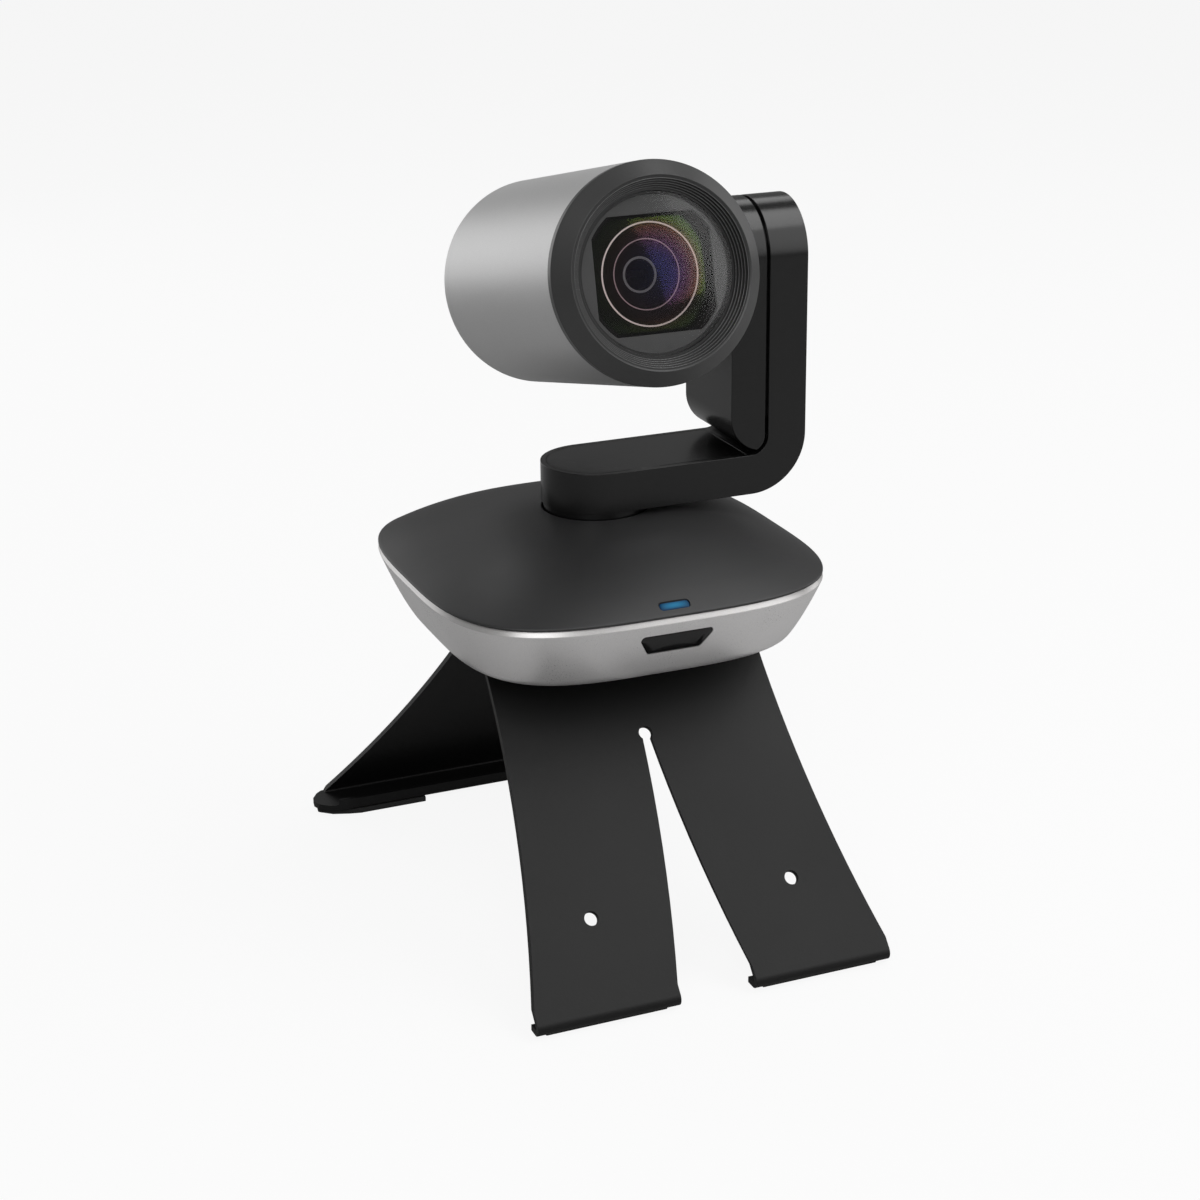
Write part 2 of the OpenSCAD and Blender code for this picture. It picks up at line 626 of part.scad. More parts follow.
tube_inner = barrel_r - tube_wall;
lip_r = barrel_r - face_w;
glass_r = lip_r - step_w;
band_y = bezel_band - front_y;
cap_y = rear_y - rear_round - 3;
hub_r = 12;
hub_x0 = tube_inner - 0.5;
module at_tilt_axis() translate([0, 0, axis_drop]) children();
module barrel_tube() color(silver_color) at_head() difference() {
    along_y(band_y) ring(barrel_r, tube_inner, cap_y - band_y);
    at_tilt_axis() along_x(tube_inner - 6) cylinder(r = tilt_shaft_r + 0.1, h = 10);
}
module rear_section(inset) {
    translate([0, inset > 0 ? -5 : 0]) square([barrel_r - inset, rear_y - cap_y - rear_round + (inset > 0 ? 5 : 0)]);
    translate([0, rear_y - cap_y - rear_round - eps]) square([barrel_r - rear_round, rear_round + eps - inset]);
    translate([barrel_r - rear_round, rear_y - cap_y - rear_round]) intersection() {
        circle(rear_round - inset);
        translate([-eps, -eps]) square(rear_round + 1);
    }
}
cap_spigot = 4;
module rear_cap() color(silver_color) at_head() difference() {
    union() {
        along_y(cap_y) rotate_extrude($fn = 128) rear_section(0);
        along_y(cap_y - cap_spigot) cylinder(r = tube_inner - 0.05, h = cap_spigot + 1);
    }
    along_y(cap_y) rotate_extrude() rear_section(base_wall);
    along_y(cap_y - cap_spigot - 1) cylinder(r = tube_inner - base_wall, h = cap_spigot + 3);
    for (x = [-1, 1]) translate([x * frame_post_x, 0, 0]) {
        along_y(rear_y - 6) cylinder(r = head_screw_r + run_gap, h = 8);
        along_y(rear_y - 0.9) cylinder(r = 2.3, h = 2);
    }
}

steps = 5;
seat_r = glass_r + 1;
glass_t = 1.2;
glass_y = 0.3 - front_y;
ledge_y = glass_y + glass_t;
mask_t = 0.6;
mask_y = ledge_y + 0.5;
spigot_y = band_y + 4;
// The bezel's half section: radius, then place along the optical axis
module bezel_section() polygon(concat(
    [[barrel_r, band_y], [barrel_r, 0.6 - front_y], [barrel_r - 0.6, -front_y], [lip_r, -front_y - lip_out]],
    [for (i = [0:steps - 1], side = [0, 1])
        let (r = lip_r - 0.5 - (i + side) * (lip_r - 0.5 - seat_r) / steps) [r, -front_y - lip_out
            + (i + 0.35) * (lip_out + 0.3) / steps]],
    [[seat_r, glass_y], [glass_r + 0.05, glass_y], [glass_r + 0.05, ledge_y], [glass_r - 0.9, ledge_y],
     [glass_r - 0.9, mask_y], [mask_r + 0.05, mask_y], [mask_r + 0.05, spigot_y], [tube_inner - 0.05, spigot_y],
     [tube_inner - 0.05, band_y]]
));
mask_r = glass_r + 1.8;
module front_bezel() color(black_color) at_head() rotate([-90, 0, 0])
    rotate_extrude($fn = 128) bezel_section();
module front_window() color(glass_color) at_head() along_y(glass_y) cylinder(r = glass_r, h = glass_t);
mask_w = 1.57 * glass_r;
mask_h = 1.46 * glass_r;
mask_corner_r = glass_r - 1.9;
module aperture_mask() color([0.5, 0.5, 0.5]) at_head() along_y(mask_y) difference() {
    cylinder(r = mask_r, h = mask_t);
    translate([0, 0, -1]) intersection() {
        cylinder(r = mask_corner_r, h = mask_t + 2);
        translate([-mask_w / 2, -mask_h / 2, 0]) cube([mask_w, mask_h, mask_t + 2]);
    }
}

flange_y = mask_y + mask_t;
lens_wall = 3.2;
lens_back_y = -30;
lens_back_t = 2;
frame_r = 17;
frame_wall = 1.5;
frame_y1 = 20;
frame_plate_t = 1.6;
// The front lens barrel's half section, stepped in like a baffle towards the back
module lens_section() polygon([
    [front_lens_r + lens_wall, flange_y], [mask_r, flange_y], [mask_r, flange_y + 1.2],
    [front_lens_r + lens_wall, flange_y + 1.2], [front_lens_r + lens_wall, lens_back_y],
    [inner_lens_r + 0.5, lens_back_y], [inner_lens_r + 0.5, lens_back_y - lens_back_t],
    [front_lens_r - 1.5, lens_back_y - lens_back_t], [front_lens_r - 1.5, flange_y + 9],
    [inner_lens_r, flange_y + 9], [inner_lens_r, flange_y + 8.2], [front_lens_r - 4.4, flange_y + 3.4],
    [front_lens_r, flange_y + 3.4], [front_lens_r, flange_y]
]);
rod_x = 11.5;
screw_z = 11.5;
lead_r = 1.2;
module rod_holes(y, depth) for (x = [-1, 1]) translate([x * rod_x, 0, 0]) along_y(y) cylinder(r = rod_r, h = depth);
module lens_tube() color(black_color) at_head() difference() {
    rotate([-90, 0, 0]) rotate_extrude($fn = 96) lens_section();
    rod_holes(lens_back_y - 1, 2);
    translate([0, 0, -screw_z]) along_y(lens_back_y - 1) cylinder(r = lead_r + run_gap, h = 2);
}
front_curve_r = 40;
module front_lens() color(glass_color) at_head() along_y(flange_y + 0.2) intersection() {
    cylinder(r = front_lens_r, h = 3.2);
    translate([0, 0, front_curve_r]) sphere(r = front_curve_r, $fn = 128);
}

frame_post_x = 14.3;
head_screw_r = 1;
module lens_frame() color(black_color) at_head() difference() {
    union() {
        along_y(lens_back_y) ring(frame_r + 1, frame_r - frame_wall + 0.6, frame_y1 - lens_back_y + eps);
        along_y(frame_y1) cylinder(r = frame_r + 1, h = frame_plate_t);
        at_tilt_axis() along_x(frame_r - 1) cylinder(r = 7, h = hub_x0 - 3 - frame_r + 1);
        for (x = [-1, 1]) translate([x * frame_post_x, 0, 0]) along_y(frame_y1)
            cylinder(r = 2.3, h = rear_y - base_wall - frame_y1);
    }
    along_y(lens_back_y - 1) cylinder(r = frame_r - frame_wall + 0.6, h = frame_y1 - lens_back_y + 1);
    translate([-5, frame_y1 - 1, -4]) cube([10, frame_plate_t + 2, 8]);
    rod_holes(frame_y1 - 1, frame_plate_t + 2);
    for (z = [-1, 1]) translate([0, 0, z * screw_z]) along_y(frame_y1 - 1)
        cylinder(r = lead_r + run_gap, h = frame_plate_t + 2);
    for (x = [-1, 1]) translate([x * frame_post_x, 0, 0]) along_y(rear_y - 12)
        cylinder(r = head_screw_r, h = 12);
}
module head_screws() color(steel_color) at_head() for (x = [-1, 1]) translate([x * frame_post_x, 0, 0]) {
    along_y(rear_y - 0.9) difference() {
        cylinder(r = 2.1, h = 0.7);
        translate([0, 0, 0.3]) cylinder(r = 0.9, h = 1, $fn = 6);
    }
    along_y(rear_y - 8) cylinder(r = head_screw_r, h = 7.1 + eps);
}
module guide_rods() color(steel_color) at_head() rod_holes(lens_back_y - 1, frame_y1 - lens_back_y + 2);

sleeve_l = 8;
zoom_y = -27;
focus_y = 3;
carriage_r = 14.4;
carriage_t = 2.4;
// A lens carriage at rest, its nut on the side where the lead screw runs
module carriage(y, side) difference() {
    union() {
        along_y(y + 2) cylinder(r = carriage_r, h = carriage_t);
        for (x = [-1, 1]) translate([x * rod_x, 0, 0]) along_y(y) cylinder(r = rod_r + 1.1, h = sleeve_l);
        translate([0, 0, side * screw_z]) along_y(y) cylinder(r = lead_r + 1.1, h = 5);
    }
    along_y(y - 1) cylinder(r = inner_lens_r, h = sleeve_l + 2);
    for (x = [-1, 1]) translate([x * rod_x, 0, 0]) along_y(y - 1) cylinder(r = rod_r + run_gap, h = sleeve_l + 2);
    translate([0, 0, side * screw_z]) along_y(y - 1) cylinder(r = lead_r + run_gap, h = sleeve_l + 2);
    translate([0, 0, -side * screw_z]) along_y(y - 1) cylinder(r = lead_r + 0.6, h = sleeve_l + 2);
}
module moving_lens(y) along_y(y + 1.6) cylinder(r = inner_lens_r, h = 3);
module zoom_carriage() color([0.2, 0.2, 0.2]) at_head() carriage(zoom_y, -1);
module zoom_lens() color(glass_color) at_head() moving_lens(zoom_y);
module focus_carriage() color([0.2, 0.2, 0.2]) at_head() carriage(focus_y, 1);
module focus_lens() color(glass_color) at_head() moving_lens(focus_y);
lens_motor_r = 4.2;
lens_motor_l = 9;
lens_motor_y = frame_y1 + frame_plate_t;
module zoom_screw() color(steel_color) at_head() translate([0, 0, -screw_z]) along_y(lens_back_y - 1)
    cylinder(r = lead_r, h = lens_motor_y + lens_motor_l - 2 - lens_back_y + 1);
module focus_screw() color(steel_color) at_head() translate([0, 0, screw_z]) along_y(focus_y - 2)
    cylinder(r = lead_r, h = lens_motor_y + lens_motor_l - 2 - focus_y + 2);
module lens_motor(z) at_head() translate([0, 0, z]) along_y(lens_motor_y) difference() {
    cylinder(r = lens_motor_r, h = lens_motor_l);
    translate([0, 0, -1]) cylinder(r = lead_r + run_gap, h = lens_motor_l);
}
module zoom_motor() color(steel_color) lens_motor(-screw_z);
module focus_motor() color(steel_color) lens_motor(screw_z);
module sensor_board() color(board_color) at_head()
    translate([-10.5, lens_motor_y, -6]) cube([21, 1.2, 12]);
module image_sensor() color([0.3, 0.3, 0.35]) at_head()
    translate([-4, lens_motor_y - 1.2, -3.2]) cube([8, 1.2, 6.4]);

shaft_end = tilt_gear_x + tilt_gear_t + 3;
module tilt_shaft() color(steel_color) at_head() difference() {
    union() {
        at_tilt_axis() along_x(hub_x0 - 3) cylinder(r = tilt_shaft_r, h = shaft_end - hub_x0 + 3);
        difference() {
            at_tilt_axis() along_x(hub_x0) cylinder(r = hub_r, h = house_x0 - move_gap - hub_x0);
            along_y(-hub_r - 5) cylinder(r = barrel_r, h = 2 * hub_r + 10);
        }
    }
    at_tilt_axis() along_x(hub_x0 - 4) cylinder(r = tilt_shaft_r - 2.4, h = shaft_end - hub_x0 + 6);
}
module tilt_gear() color([0.85, 0.85, 0.82]) at_camera() translate([0, 0, tilt_z]) along_x(tilt_gear_x)
    gear(tilt_teeth, tilt_module, tilt_gear_t, tilt_shaft_r, 0.08);

/* ---- stand ---- */

function across(a) = [sin(a), -cos(a)];
// A sheet folded step by step, seen from the side. Each step is a straight run, then a bend downwards by
// an angle round an inside radius. Each point is a place on the outer face and the way through the sheet.
function folded(steps, i = 0, start = [0, 0], a = 0) = i == len(steps) ? [] : let (
    turn = steps[i][1],
    outer_r = steps[i][2] + sheet_t,
    end = start + steps[i][0] * [cos(a), sin(a)],
    center = end + outer_r * across(a),
    parts = max(1, ceil(turn / 6)),
    bend = [for (k = [0:parts]) let (b = a - turn * k / parts) [center - outer_r * across(b), across(b)]]
) concat([[start, across(a)]], turn > 0 ? bend : [[end, across(a)]],
         folded(steps, i + 1, center - outer_r * across(a - turn), a - turn));
module sheet_body(steps) rotate([90, 0, -90]) translate([-top_back, 0, -100]) linear_extrude(height = 200) {
    path = folded(steps);
    polygon(concat([for (p = path) p[0]], [for (i = [len(path) - 1:-1:0]) path[i][0] + sheet_t * path[i][1]]));
}

top_back = 14;
front_flange = 3.5;
slit_half = 0.3;
foot_gap_half = 12.65;
rear_lip = 2;
relief_z = -25;
leg_hole_x = 34;
leg_hole_z = -66;
knob_r = 12;
knob_h = 8;
rivet_x = 30;
rivet_r = 2;
// Places children on the outer face of the front legs, z along the face's normal
module on_front_leg(x, z) translate([x, z / tan(leg_slope) - bend_y, z]) rotate([leg_slope, 0, 0]) children();
module plate_holes() {
    translate([0, 0, -3 * sheet_t]) cylinder(r = screw_r + 0.25, h = 4 * sheet_t);
    for (x = [-1, 1]) translate([x * rivet_x, 0, -3 * sheet_t]) cylinder(r = rivet_r, h = 4 * sheet_t);
}
module front_stand() color(sheet_color) at_camera() difference() {
    sheet_body([[top_back + bend_y - bend_tangent(), leg_slope, bend_r],
                [slope_run(front_drop, sheet_curl), 180 - leg_slope, sheet_curl],
                [front_flange, 0, 0]]);
    for (x = [-1, 1]) swept_edge(x * (leg_sweep + front_half), 0, leg_sweep);
    for (x = [-foot_half - 50, foot_half]) translate([x, -200, -stand_h]) cube([50, 400, stand_h + 1]);
    leg_gap();
    plate_holes();
    for (x = [-1, 1]) on_front_leg(x * leg_hole_x, leg_hole_z) translate([0, 0, -sheet_t - 1])
        cylinder(r = hole_r, h = sheet_t + 2);
    on_front_leg(0, relief_z) translate([0, 0, -sheet_t - 1]) cylinder(r = hole_r, h = sheet_t + 2);
}
// A round cut through the sheet from front to back
module swept_edge(x, z, r) translate([x, 200, z]) rotate([90, 0, 0]) cylinder(r = r, h = 400, $fn = 360);
// What parts the two front legs below the relief hole, between their inner swept edges
module leg_gap() difference() {
    translate([-foot_gap_half, -180, -stand_h - 2]) cube([2 * foot_gap_half, 180, stand_h + 2 + relief_z]);
    for (x = [-1, 1]) swept_edge(x * (gap_sweep + slit_half), 0, gap_sweep);
}
back_rise = 50;
back_center_x = -back_half - sqrt(back_sweep * back_sweep - back_rise * back_rise);
foot_front = back_reach - foot_depth;
foot_corner = 8;
foot_height = 7;
tray_top = back_pad_t + sheet_t + 0.1;
// The back foot's outline from above, drawn in by an inset. Its left end is rounded, with a long taper in front.
module foot_outline(inset = 0) {
    left = inset - foot_reach_left;
    right = foot_reach_right - inset;
    front = foot_front + inset;
    back = back_reach - inset;
    polygon([
        [left + 6, back + 1], [left + 2.5, back - 2], [left + 0.5, back - 5], [left, back - 8],
        [left + 1, front + 6], [left + 4.5, front + 3], [left + 10, front + 1], [left + 18, front - 1],
        [right - foot_corner, front - 1], [right, front + foot_corner], [right, back + 1]
    ]);
}
module rear_stand() color(sheet_color) at_camera() difference() {
    translate([0, 0, -sheet_t]) mirror([0, 1, 0])
        sheet_body([[top_back + bend_y - bend_tangent(), leg_slope, bend_r],
                    [slope_run(back_drop, sheet_curl), 180 - leg_slope, sheet_curl],
                    [foot_depth - 2 * (sheet_curl + sheet_t), 90, sheet_curl], [rear_lip, 0, 0]]);
    difference() {
        swept_edge(back_center_x, back_rise, back_sweep);
        translate([-2 * back_sweep, -200, -stand_h - 10]) cube([4 * back_sweep, 400, 10 + tray_top]);
    }
    rotate([90, 0, 0]) translate([0, 0, -150]) linear_extrude(height = 200)
        polygon([[back_half, 1], [110, 1], [110, -stand_h - 1], [foot_reach_right, -stand_h - 1]]);
    difference() {
        translate([-150, foot_front - 10, -stand_h - 1]) cube([300, 50, 1 + foot_height]);
        translate([0, 0, -stand_h - 2]) linear_extrude(height = foot_height + 3) foot_outline();
    }
    plate_holes();
}
module stand_rivets() color(steel_color) at_camera() for (x = [-1, 1])
    translate([x * rivet_x, 0, -2 * sheet_t]) {
        translate([0, 0, -0.4]) cylinder(r = rivet_r, h = 2 * sheet_t + 0.6);
        translate([0, 0, 2 * sheet_t]) cylinder(r = rivet_r + 1.4, h = 0.5);
        translate([0, 0, -0.8]) cylinder(r = rivet_r + 1.4, h = 0.8);
    }
module camera_screw() color(black_color) at_camera() {
    translate([0, 0, -2 * sheet_t - knob_h]) difference() {
        cylinder(r = knob_r, h = knob_h);
        for (i = [0:11]) rotate(30 * i) translate([knob_r + 1, 0, -1]) cylinder(r = 1.8, h = knob_h - 1);
        translate([0, 0, -1]) cylinder(r = knob_r - 4, h = 2.5);
    }
    translate([0, 0, -2 * sheet_t - eps]) cylinder(r = screw_r, h = 2 * sheet_t + insert_h - 1);
}
pad_inset = 3.5;
pad_l = foot_half - foot_gap_half - 2 * pad_inset;
module front_pads() color(rubber_color) at_camera() for (x = [-foot_half, foot_gap_half])
    translate([x + pad_inset, -front_reach + sheet_t + sheet_curl, -stand_h])
        cube([pad_l, front_flange - 0.5, front_pad_t]);
rear_pad_d = foot_depth - 5;
module rear_pads() color(rubber_color) at_camera() translate([0, 0, -stand_h])
    linear_extrude(height = back_pad_t) intersection() {
        foot_outline(1);
        union() for (x = [-foot_reach_left, foot_reach_right - pad_l])
            translate([x, foot_front + 1]) square([pad_l, rear_pad_d]);
    }

base_cover();
base_housing();
bottom_plate();
base_pad();
tripod_insert();
status_light();
remote_window();
main_board();
front_board();
power_socket();
data_socket();
chassis_plate();
pan_bearing();
pan_motor();
pan_pinion();
base_screws();
pan_shaft();
pan_clip();
pan_gear();
arm_frame();
bar_lid();
tilt_housing();
tilt_bearing();
tilt_motor();
tilt_pinion();
arm_screws();
barrel_tube();
rear_cap();
front_bezel();
front_window();
aperture_mask();
lens_tube();
front_lens();
lens_frame();
guide_rods();
zoom_carriage();
zoom_lens();
zoom_screw();
zoom_motor();
focus_carriage();
focus_lens();
focus_screw();
focus_motor();
sensor_board();
image_sensor();
tilt_shaft();
tilt_gear();
head_screws();
front_stand();
rear_stand();
stand_rivets();
camera_screw();
front_pads();
rear_pads();
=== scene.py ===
# %% [markdown]
# # A pan-tilt webcam on a folded-sheet stand
# The packed model gives the frame: every moving body, every joint and the true size of every part. This
# lesson dresses that frame part by part. The base is two moulded shells, the arm is one bent bar, the head
# is a painted tube with a lens behind glass, and the stand is two folded steel sheets.

# %% Load the frame
import json
import math
import bpy
import bmesh
from mathutils import Matrix, Quaternion, Vector

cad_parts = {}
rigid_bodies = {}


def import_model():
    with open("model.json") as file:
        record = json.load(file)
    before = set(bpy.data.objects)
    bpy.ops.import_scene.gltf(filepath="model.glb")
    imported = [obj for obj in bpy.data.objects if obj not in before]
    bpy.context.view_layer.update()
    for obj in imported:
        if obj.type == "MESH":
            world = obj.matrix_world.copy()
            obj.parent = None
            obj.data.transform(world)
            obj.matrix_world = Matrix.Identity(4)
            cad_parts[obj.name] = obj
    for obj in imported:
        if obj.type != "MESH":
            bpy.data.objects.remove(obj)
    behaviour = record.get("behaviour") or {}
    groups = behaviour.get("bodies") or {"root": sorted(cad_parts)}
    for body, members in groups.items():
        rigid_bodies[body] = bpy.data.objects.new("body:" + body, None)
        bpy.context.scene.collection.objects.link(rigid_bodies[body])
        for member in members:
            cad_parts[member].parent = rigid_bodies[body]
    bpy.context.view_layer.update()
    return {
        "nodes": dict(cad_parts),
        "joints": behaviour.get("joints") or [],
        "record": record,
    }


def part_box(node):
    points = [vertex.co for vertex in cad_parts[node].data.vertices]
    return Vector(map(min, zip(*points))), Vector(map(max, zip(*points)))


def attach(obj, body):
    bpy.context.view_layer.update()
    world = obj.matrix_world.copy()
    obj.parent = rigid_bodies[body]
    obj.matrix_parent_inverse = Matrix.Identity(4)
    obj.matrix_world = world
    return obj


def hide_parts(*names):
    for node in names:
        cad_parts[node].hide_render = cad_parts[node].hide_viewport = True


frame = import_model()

MM = 0.001
joint = {j["name"]: j for j in frame["joints"]}
pan_axis = Vector(joint["pan"]["pos_m"])
tilt_axis = Vector(joint["tilt"]["pos_m"])
base_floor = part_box("base_pad")[0][2]
print("pan axis", tuple(pan_axis), "underside of the camera at", round(base_floor, 4))

# %% [markdown]
# ## Two sets of coordinates
# A turned part is easiest to draw about its own axis. The base is drawn from the pan axis at the camera's
# underside. The head is drawn from the point of the lens axis beside the tilt axis, with y running back
# along the lens. One matrix for each takes the points to the model's frame, so nothing is moved afterwards.

# %% Frames for the base and the head
REST_TILT = math.radians(12.9)
AXIS_DROP = 3.9 * MM
BASE = Matrix.Translation((pan_axis.x, pan_axis.y, base_floor))
HEAD = (Matrix.Translation(tilt_axis) @ Matrix.Rotation(-REST_TILT, 4, "X")
        @ Matrix.Translation((pan_axis.x - tilt_axis.x, 0, -AXIS_DROP)))
print("head drawn from", [round(v, 4) for v in HEAD.translation], "tilted up", round(REST_TILT, 3), "radians")

# %% [markdown]
# ## The camera, first of all
# The viewpoint decides which details are worth the work, so it is set before any piece. The view is a long
# lens from the front left and a little above, with a slight roll, and a small shift that keeps the object
# where it sits in the frame.

# %% Camera
AZIMUTH, ELEVATION, ROLL = math.radians(-22.27), math.radians(18.74), math.radians(-0.64)
EYE = BASE @ Vector((-278.3 * MM, -680.4 * MM, 280.48 * MM))
FOCAL, SENSOR = 71.81, 36
SHIFT = (0.00275, -0.0598)


def way_to(azimuth, elevation):
    """The way from the part to an azimuth, 0 in front and 90 degrees on the right, and an elevation."""
    return Vector((math.sin(azimuth) * math.cos(elevation), -math.cos(azimuth) * math.cos(elevation),
                   math.sin(elevation)))


back = way_to(AZIMUTH, ELEVATION)
level = Vector((math.cos(AZIMUTH), math.sin(AZIMUTH), 0))
upright = back.cross(level)
right = level * math.cos(ROLL) + upright * math.sin(ROLL)
up = upright * math.cos(ROLL) - level * math.sin(ROLL)
camera_data = bpy.data.cameras.new("studio_camera")
camera_data.sensor_width, camera_data.lens = SENSOR, FOCAL
camera_data.shift_x, camera_data.shift_y = SHIFT
camera_data.clip_start, camera_data.clip_end = 0.01, 50
camera = bpy.data.objects.new("studio_camera", camera_data)
camera.matrix_world = Matrix.Translation(EYE) @ Matrix((right, up, back)).transposed().to_4x4()
scene_objects = bpy.context.scene.collection.objects
scene_objects.link(camera)
bpy.context.scene.camera = camera
print("camera at", [round(v, 3) for v in EYE])

# %% [markdown]
# ## Shader maths as plain expressions
# Finishes are mixed from a few numbers that vary over a surface: grain, mottling, dust. Wiring those by hand
# hides the idea, so a small class wraps a socket and lets + - * / ** add the Math nodes, with the value on
# either side of the sign. Every other node comes from one function.

# %% The Value class and the one node function
def sign(operation):
    """The two methods of one arithmetic sign: with the value on its left, and on its right."""
    def plain(self, other):
        return self.math(operation, self, other)

    def reflected(self, other):
        return self.math(operation, other, self)

    return plain, reflected


class Value:
    """An output socket. Arithmetic on it adds Math nodes to the same tree."""

    def __init__(self, tree, socket):
        self.tree, self.socket = tree, socket

    def math(self, operation, *terms):
        return make(self.tree, "ShaderNodeMath", {"operation": operation}, dict(enumerate(terms)))

    __add__, __radd__ = sign("ADD")
    __sub__, __rsub__ = sign("SUBTRACT")
    __mul__, __rmul__ = sign("MULTIPLY")
    __truediv__, __rtruediv__ = sign("DIVIDE")
    __pow__, __rpow__ = sign("POWER")


def set_stops(ramp, stops):
    while len(ramp.elements) < len(stops):
        ramp.elements.new(0.5)
    for element, (place, color) in zip(ramp.elements, stops):
        element.position, element.color = place, (*color, 1)


def make(tree, kind, settings=None, inputs=None, output=0):
    """A node of any kind: its settings first, then the values or links of its sockets."""
    node = tree.nodes.new(kind)
    for key, value in (settings or {}).items():
        if key == "stops":
            set_stops(node.color_ramp, value)
        else:
            setattr(node, key, value)
    for key, value in (inputs or {}).items():
        if isinstance(value, Value):
            tree.links.new(value.socket, node.inputs[key])
        else:
            node.inputs[key].default_value = value
    return Value(tree, node.outputs[output])


def parts_of(tree, vector, axes):
    """Some of a vector's three numbers, each as a value."""
    split = make(tree, "ShaderNodeSeparateXYZ", None, {"Vector": vector}).socket.node
    return [Value(tree, split.outputs[axis]) for axis in axes]


print("signs that add nodes:", [name for name in vars(Value) if name.startswith("__r")])

# %% [markdown]
# ## A finish under construction
# Nearly every piece here is one opaque surface, so one Principled shader does for it. This class opens that
# shader, sets what is the same all over the surface on the shader itself, and offers the three tools that
# each recipe needs: noise of a real size, a blend of two colours, and a bump of a real depth.

# %% The Finish class
class Finish:
    """A material under construction: one Principled shader, and the varying values that feed it."""

    def __init__(self, name, **constants):
        self.material = bpy.data.materials.new(name)
        self.material.use_nodes = True
        self.tree = self.material.node_tree
        self.shader = self.tree.nodes["Principled BSDF"]
        for key, value in constants.items():
            self.shader.inputs[key.replace("_", " ")].default_value = value
        self.place = self.node("ShaderNodeTexCoord", output="Object")

    def node(self, kind, settings=None, inputs=None, output=0):
        return make(self.tree, kind, settings, inputs, output)

    def noise(self, size, detail=2.0):
        """Noise from 0 to 1 with features about size metres across."""
        return self.node("ShaderNodeTexNoise", None,
                         {"Vector": self.place, "Scale": 1 / size, "Detail": detail})

    def blend(self, factor, low, high):
        """Between two colours by a factor."""
        return self.node("ShaderNodeMix", {"data_type": "RGBA"}, {0: factor, 6: low, 7: high}, output=2)

    def feed(self, **links):
        for key, value in links.items():
            self.tree.links.new(value.socket, self.shader.inputs[key.replace("_", " ")])

    def bump(self, height, depth):
        """Relief of a depth in metres."""
        self.feed(Normal=self.node("ShaderNodeBump", None, {"Height": height, "Distance": depth}))


def shade(value, tint=(1, 1, 1)):
    """A plain value in a tint, as a colour."""
    return tuple(min(1, value * t) for t in tint) + (1,)


print("a mid grey is", shade(0.5))

# %% [markdown]
# ## Moulded plastic
# The cover, the arm, the pads and some inner pieces are moulded. A moulded plastic is never one flat value:
# the mould's texture catches light as a fine grain, and handling polishes it in broad soft patches. Both
# could be painted by hand, but noise of the real size does it on every piece with one recipe.

# %% Moulded plastics
PATCH_SIZE = 30 * MM
GRAIN_CONTRAST = 0.14


def moulded(name, value, rough, grain_size, grain_depth, tint=(1, 1, 1), gloss_patch=0.06, specular=0.5):
    finish = Finish(name, Specular_IOR_Level=specular)
    grain = finish.noise(grain_size)
    patch = finish.noise(PATCH_SIZE, 3.0)
    low, high = shade(value * (1 - GRAIN_CONTRAST), tint), shade(value * (1 + GRAIN_CONTRAST), tint)
    finish.feed(Base_Color=finish.blend(grain * 0.6 + patch * 0.4, low, high),
                Roughness=rough + (patch - 0.5) * (2 * gloss_patch) + (grain - 0.5) * 0.08)
    finish.bump(grain, grain_depth)
    return finish.material


graphite = moulded("graphite_cover", 0.021, 0.46, 0.5 * MM, 0.016 * MM, (1, 1, 1.02))
arm_black = moulded("satin_black_arm", 0.0040, 0.22, 0.4 * MM, 0.006 * MM)
inner_black = moulded("lens_black", 0.0014, 0.6, 0.3 * MM, 0.004 * MM, (1.5, 0.8, 0.9), specular=0.12)
soft_black = moulded("plain_black", 0.018, 0.5, 0.4 * MM, 0.01 * MM)
window_black = moulded("window_black", 0.004, 0.08, 4 * MM, 0.0005 * MM, (1, 0.9, 0.95), 0.01)
acetal = moulded("acetal_white", 0.62, 0.42, 1 * MM, 0.004 * MM, (1, 0.99, 0.94))
mask_grey = moulded("mask_grey", 0.062, 0.45, 0.4 * MM, 0.003 * MM)
# A pale grey for the beads on the bezel's step edges: a painted highlight.
bead_highlight_grey = moulded("bead_highlight_grey", 0.10, 0.26, 0.4 * MM, 0.001 * MM)
rubber = moulded("rubber", 0.016, 0.78, 0.6 * MM, 0.03 * MM)
print("moulded finishes, from", graphite.name, "to", rubber.name)

# %% [markdown]
# ## Metallic paint and bare metal
# The barrel and the bowl are plastic under a silver paint, whose flakes lie a little crooked in it. A full
# flake texture would be far finer than is ever seen, so a fine noise turns colour, roughness and relief a
# little, and a part-metallic shader gives the broad sheen. Bare steel and brass are the same with no paint.

# %% Metallic paints and metals
CLOUD_SIZE = 20 * MM
FLAKE_DEPTH = 0.0025 * MM


def metallic(name, value, rough, metal=1.0, flake=0.25 * MM, contrast=0.16, tint=(1, 1, 1)):
    finish = Finish(name, Metallic=metal)
    spark = finish.noise(flake, 1.0)
    cloud = finish.noise(CLOUD_SIZE)
    low, high = shade(value * (1 - contrast), tint), shade(value * (1 + contrast), tint)
    finish.feed(Base_Color=finish.blend(spark * 0.85 + cloud * 0.15, low, high),
                Roughness=rough + (spark - 0.5) * 0.1 + (cloud - 0.5) * 0.05)
    finish.bump(spark, FLAKE_DEPTH)
    return finish.material


